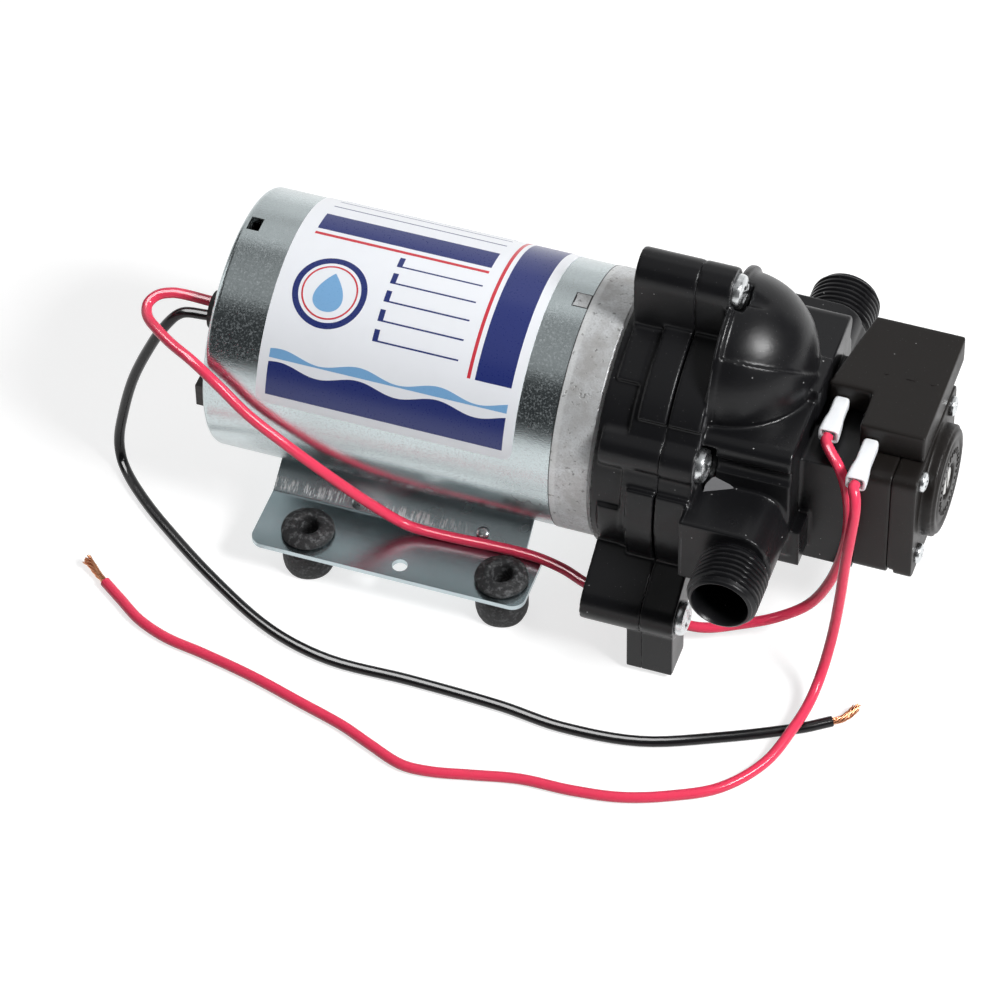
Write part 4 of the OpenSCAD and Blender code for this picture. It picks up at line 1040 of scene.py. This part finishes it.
def screw_set(name, node, seats, x0, sizes, seed):
    """All the screws of one node as one piece. seats are (y, z) places on the plane x0."""
    draw = random.Random(seed)
    verts = []
    faces = []
    for y, z in seats:
        rings = screw_rings(*sizes, draw.random() * math.pi)
        add_rings(verts, faces, [[(x0 + h, y + a, z + b) for a, b, h in ring] for ring in rings])
    finish_piece(mesh_piece(name, verts, faces), "pump", "screw_zinc", node)


CORNER_R = 57 * MM
MID_R = 38 * MM
SMALL_LOW, SMALL_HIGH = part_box("switch_screws")
COVER_X = SMALL_HIGH.x - SMALL_SCREW[1]
head_seats = []
for t in THIRDS:
    for radius, turn in ((CORNER_R, math.radians(t)), (MID_R, math.radians(t + 60))):
        head_seats.append((radius * math.sin(turn), AXIS_Z + radius * math.cos(turn)))
screw_set("head_screw_set", "head_screws", head_seats, SCREW_SEAT_X, HEAD_SCREW, 7)
small_r = SMALL_SCREW[0]
cover_seats = [(y, z) for y in (SMALL_LOW.y + small_r, SMALL_HIGH.y - small_r)
               for z in (SMALL_LOW.z + small_r, SMALL_HIGH.z - small_r)]
screw_set("switch_screw_set", "switch_screws", cover_seats, COVER_X, SMALL_SCREW, 8)


# Terminal sleeves: soft-edged boxes that widen to a hood with an open mouth

SLEEVE_ROUND = 32
# Half width of the little face that closes an end, and the power that squares a circle
CLOSING = 0.1
CORNER_POWER = 0.42
# Distance from the terminal's end or from the hood's mouth, half width and half height, in millimetres
SLEEVE_SECTIONS = [
    (-0.05, 1.7, 1.4), (0, 2.0, 1.65), (0.5, 2.2, 1.85), (1.5, 2.3, 1.95),
]
HOOD_SECTIONS = [
    (8.4, 2.3, 1.95), (7.6, 2.35, 2.0), (5.0, 2.75, 2.35), (2.4, 2.95, 2.5), (0.5, 3.0, 2.55),
    (0.1, 2.9, 2.45), (0, 2.6, 2.2), (0.1, 2.2, 1.9), (0.6, 2.05, 1.8), (2.6, 1.75, 1.7),
    (2.7, CLOSING, CLOSING),
]


def box_ring(x, y, z, half_w, half_h):
    """Points on a rounded rectangle across Y."""
    ring = []
    for k in range(SLEEVE_ROUND):
        a = 2 * math.pi * (k + 0.5) / SLEEVE_ROUND
        c, s = math.cos(a), math.sin(a)
        ring.append((x + half_w * MM * math.copysign(abs(c) ** CORNER_POWER, c), y,
                     z + half_h * MM * math.copysign(abs(s) ** CORNER_POWER, s)))
    return ring


def sleeve(node):
    low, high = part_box(node)
    x = (low.x + high.x) / 2
    z = (low.z + high.z) / 2
    rings = [box_ring(x, high.y, z, CLOSING, CLOSING)]
    rings += [box_ring(x, high.y - d * MM, z, w, h) for d, w, h in SLEEVE_SECTIONS]
    rings += [box_ring(x, low.y + d * MM, z, w, h) for d, w, h in HOOD_SECTIONS]
    verts = []
    faces = []
    add_rings(verts, faces, rings)
    piece = mesh_piece(node + "_soft", verts, faces)
    finish_piece(piece, "pump", "sleeve_nylon", node)


sleeve("sleeve_link")
sleeve("sleeve_supply")


# Moulded marks on top of the snap switch case: two dots and a small raised field

DOT_PLACES = ((128.5, 9.2), (142.2, 9.1))
DOT_R = 0.75
DOT_ROUND = 20
FIELD_CORNERS = [(134.45, 8.45), (137.05, 8.45), (137.05, 10.05), (134.45, 10.05)]
MARK_SINK = 0.3 * MM
MARK_RISE = 0.12 * MM


def make_case_marks():
    verts = []
    faces = []
    outlines = [FIELD_CORNERS]
    angles = [2 * math.pi * k / DOT_ROUND for k in range(DOT_ROUND)]
    for x, y in DOT_PLACES:
        outlines.append([(x + DOT_R * math.cos(a), y + DOT_R * math.sin(a)) for a in angles])
    heights = (CASE_TOP - MARK_SINK, CASE_TOP + MARK_RISE)
    for outline in outlines:
        add_rings(verts, faces, [[(x * MM, y * MM, z) for x, y in outline] for z in heights])
    piece = mesh_piece("case_marks", verts, faces)
    finish_piece(piece, "pump", "switch_plastic")


make_case_marks()


# Raised marks round the switch disc

DISC_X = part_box("switch_cover")[1].x
TICK_COUNT = 28
TICK_RING_R = 9.3 * MM
TICK_HALF = 0.4 * MM
LONG_TICK = 1.2 * MM
SHORT_TICK = 0.8 * MM
LONG_EVERY = 4
# Height over the disc and share of the size, at the foot and at the top of a tick
TICK_LEVELS = ((-0.2 * MM, 1), (0.3 * MM, 0.7))


def make_disc_marks():
    verts = []
    faces = []
    for i in range(TICK_COUNT):
        a = 2 * math.pi * i / TICK_COUNT
        out = Vector((0, math.sin(a), math.cos(a)))
        side = Vector((0, math.cos(a), -math.sin(a)))
        middle = Vector((DISC_X, 0, AXIS_Z)) + out * TICK_RING_R
        half_long = LONG_TICK if i % LONG_EVERY == 0 else SHORT_TICK
        rings = []
        for height, shrink in TICK_LEVELS:
            level = middle + Vector((height, 0, 0))
            rings.append([level + out * p * half_long * shrink + side * q * TICK_HALF * shrink
                          for p, q in ((-1, -1), (1, -1), (1, 1), (-1, 1))])
        add_rings(verts, faces, rings)
    piece = mesh_piece("disc_marks", verts, faces)
    finish_piece(piece, "pump", "switch_plastic")


make_disc_marks()


# Pieces inside: the springs as plain copies, and the membrane's discs, which follow the wobble plate

def spring(node, joint_name):
    """A smooth-shaded copy of a spring that stands in for its node on the pump."""
    joint = joint_of(joint_name)
    axis = Vector(joint["axis"])
    piece = bpy.data.objects.new(node + "_coil", copied(node))
    smooth_by_angle(piece.data)
    finish_piece(piece, "pump", "spring_steel", node)
    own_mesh(piece)


spring("check_spring", "poppet_lift")
spring("switch_spring", "plunger_travel")
spring("brush_spring_front", "brush_front_slide")
spring("brush_spring_back", "brush_back_slide")

PISTON_CIRCLE_R = 19 * MM
MEMBRANE_DISC_R = 11.75 * MM
MEMBRANE_HOLE_R = 12.05 * MM
SPLIT_ROUND = 64


def piston_cutter(radius):
    """Three cylinders along the motor axis, one through each piston."""
    low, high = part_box("diaphragm")
    room = 5 * MM
    verts = []
    faces = []
    for turn in THIRDS:
        y = PISTON_CIRCLE_R * math.sin(math.radians(turn))
        z = AXIS_Z + PISTON_CIRCLE_R * math.cos(math.radians(turn))
        angles = [2 * math.pi * k / SPLIT_ROUND for k in range(SPLIT_ROUND)]
        circle = [(y + radius * math.cos(a), z + radius * math.sin(a)) for a in angles]
        add_rings(verts, faces, [[(x, *place) for place in circle] for x in (low.x - room, high.x + room)])
    cutter = mesh_piece("membrane_cutter", verts, faces, smooth=False)
    bpy.context.collection.objects.link(cutter)
    return cutter


def membrane_piece(name, operation, radius):
    cutter = piston_cutter(radius)
    piece = bpy.data.objects.new(name, copied("diaphragm"))
    bpy.context.collection.objects.link(piece)
    split = piece.modifiers.new("split", "BOOLEAN")
    split.operation = operation
    split.object = cutter
    split.solver = "EXACT"
    settled(piece)
    smooth_by_angle(piece.data)
    bpy.data.objects.remove(cutter)
    return piece


def make_membrane():
    """The membrane in two pieces, the discs under the pistons on the wobble plate and the rest clamped."""
    discs = membrane_piece("membrane_discs", "INTERSECT", MEMBRANE_DISC_R)
    finish_piece(discs, "wobbler", "membrane_rubber")
    rim = membrane_piece("membrane_rim", "DIFFERENCE", MEMBRANE_HOLE_R)
    finish_piece(rim, "pump", "membrane_rubber", "diaphragm")


make_membrane()


# Floor and light

FLOOR_HALF = 4.0
FLOOR_GLOW = 0.72
LIGHTS = (
    # Name, place, size, watts
    ("lamp", (0.95, -0.29, 1.0), (0.36, 0.36), 20.5),
    ("back_low", (-0.1, 1.5, 0.42), (3.4, 1.0), 8.5),
    ("back_high", (-0.1, 1.0, 1.25), (2.6, 0.9), 4.6),
    ("ceiling", (-0.1, 0.05, 1.5), (2.2, 1.0), 2.4),
    ("left", (-1.3, 0.0, 0.5), (0.5, 0.9), 2),
)
LEAD_LIGHT = ("kicker", (-0.32, -0.17, 1.2), (1.1, 1.1), 82)
LIGHT_AIM = Vector((0.03, 0, 0.05))


def make_stage():
    """A pale table that looks lit from below, so shadows stay faint, and adds no light to the object."""
    s = Shader("floor", (0.45, 0.45, 0.45), 0.85, specular=0.1)
    s.tint(s.ramp(s.noise(2, 2), 0.4, 0.8, 0, 0.2), (0.44, 0.44, 0.44))
    s.main.inputs["Emission Color"].default_value = (1, 1, 1, 1)
    path = s.add("ShaderNodeLightPath")
    seen = path.outputs["Is Camera Ray"]
    for ray in ("Is Glossy Ray", "Is Transmission Ray"):
        seen = s.larger(seen, path.outputs[ray])
    s.link(s.ramp(seen, 0, 1, 0, FLOOR_GLOW), s.main.inputs["Emission Strength"])
    half = FLOOR_HALF
    corners = [(-half, -half, 0), (half, -half, 0), (half, half, 0), (-half, half, 0)]
    floor = mesh_piece("floor", corners, [(0, 1, 2, 3)], smooth=False)
    bpy.context.collection.objects.link(floor)
    floor.data.materials.append(s.material)


def area_light(name, place, size, watts):
    data = bpy.data.lights.new(name, "AREA")
    data.shape = "RECTANGLE"
    data.size, data.size_y = size
    data.energy = watts
    light = bpy.data.objects.new(name, data)
    light.location = place
    light.rotation_euler = (LIGHT_AIM - Vector(place)).to_track_quat("-Z", "Y").to_euler()
    bpy.context.collection.objects.link(light)
    return light


def shine_only(light, pieces):
    """Lets a light show only as a mirrored highlight on some pieces."""
    group = bpy.data.collections.new(light.name + "_pieces")
    for piece in pieces:
        group.objects.link(piece)
    light.light_linking.receiver_collection = group
    light.visible_diffuse = False


def make_light():
    for light in LIGHTS:
        area_light(*light)
    shine_only(area_light(*LEAD_LIGHT), GLOSSY_LEADS)
    world = bpy.data.worlds.new("studio")
    world.use_nodes = True
    sky = world.node_tree.nodes["Background"]
    sky.inputs["Color"].default_value = (0.92, 0.96, 1, 1)
    sky.inputs["Strength"].default_value = 0.05
    bpy.context.scene.world = world


make_stage()
make_light()
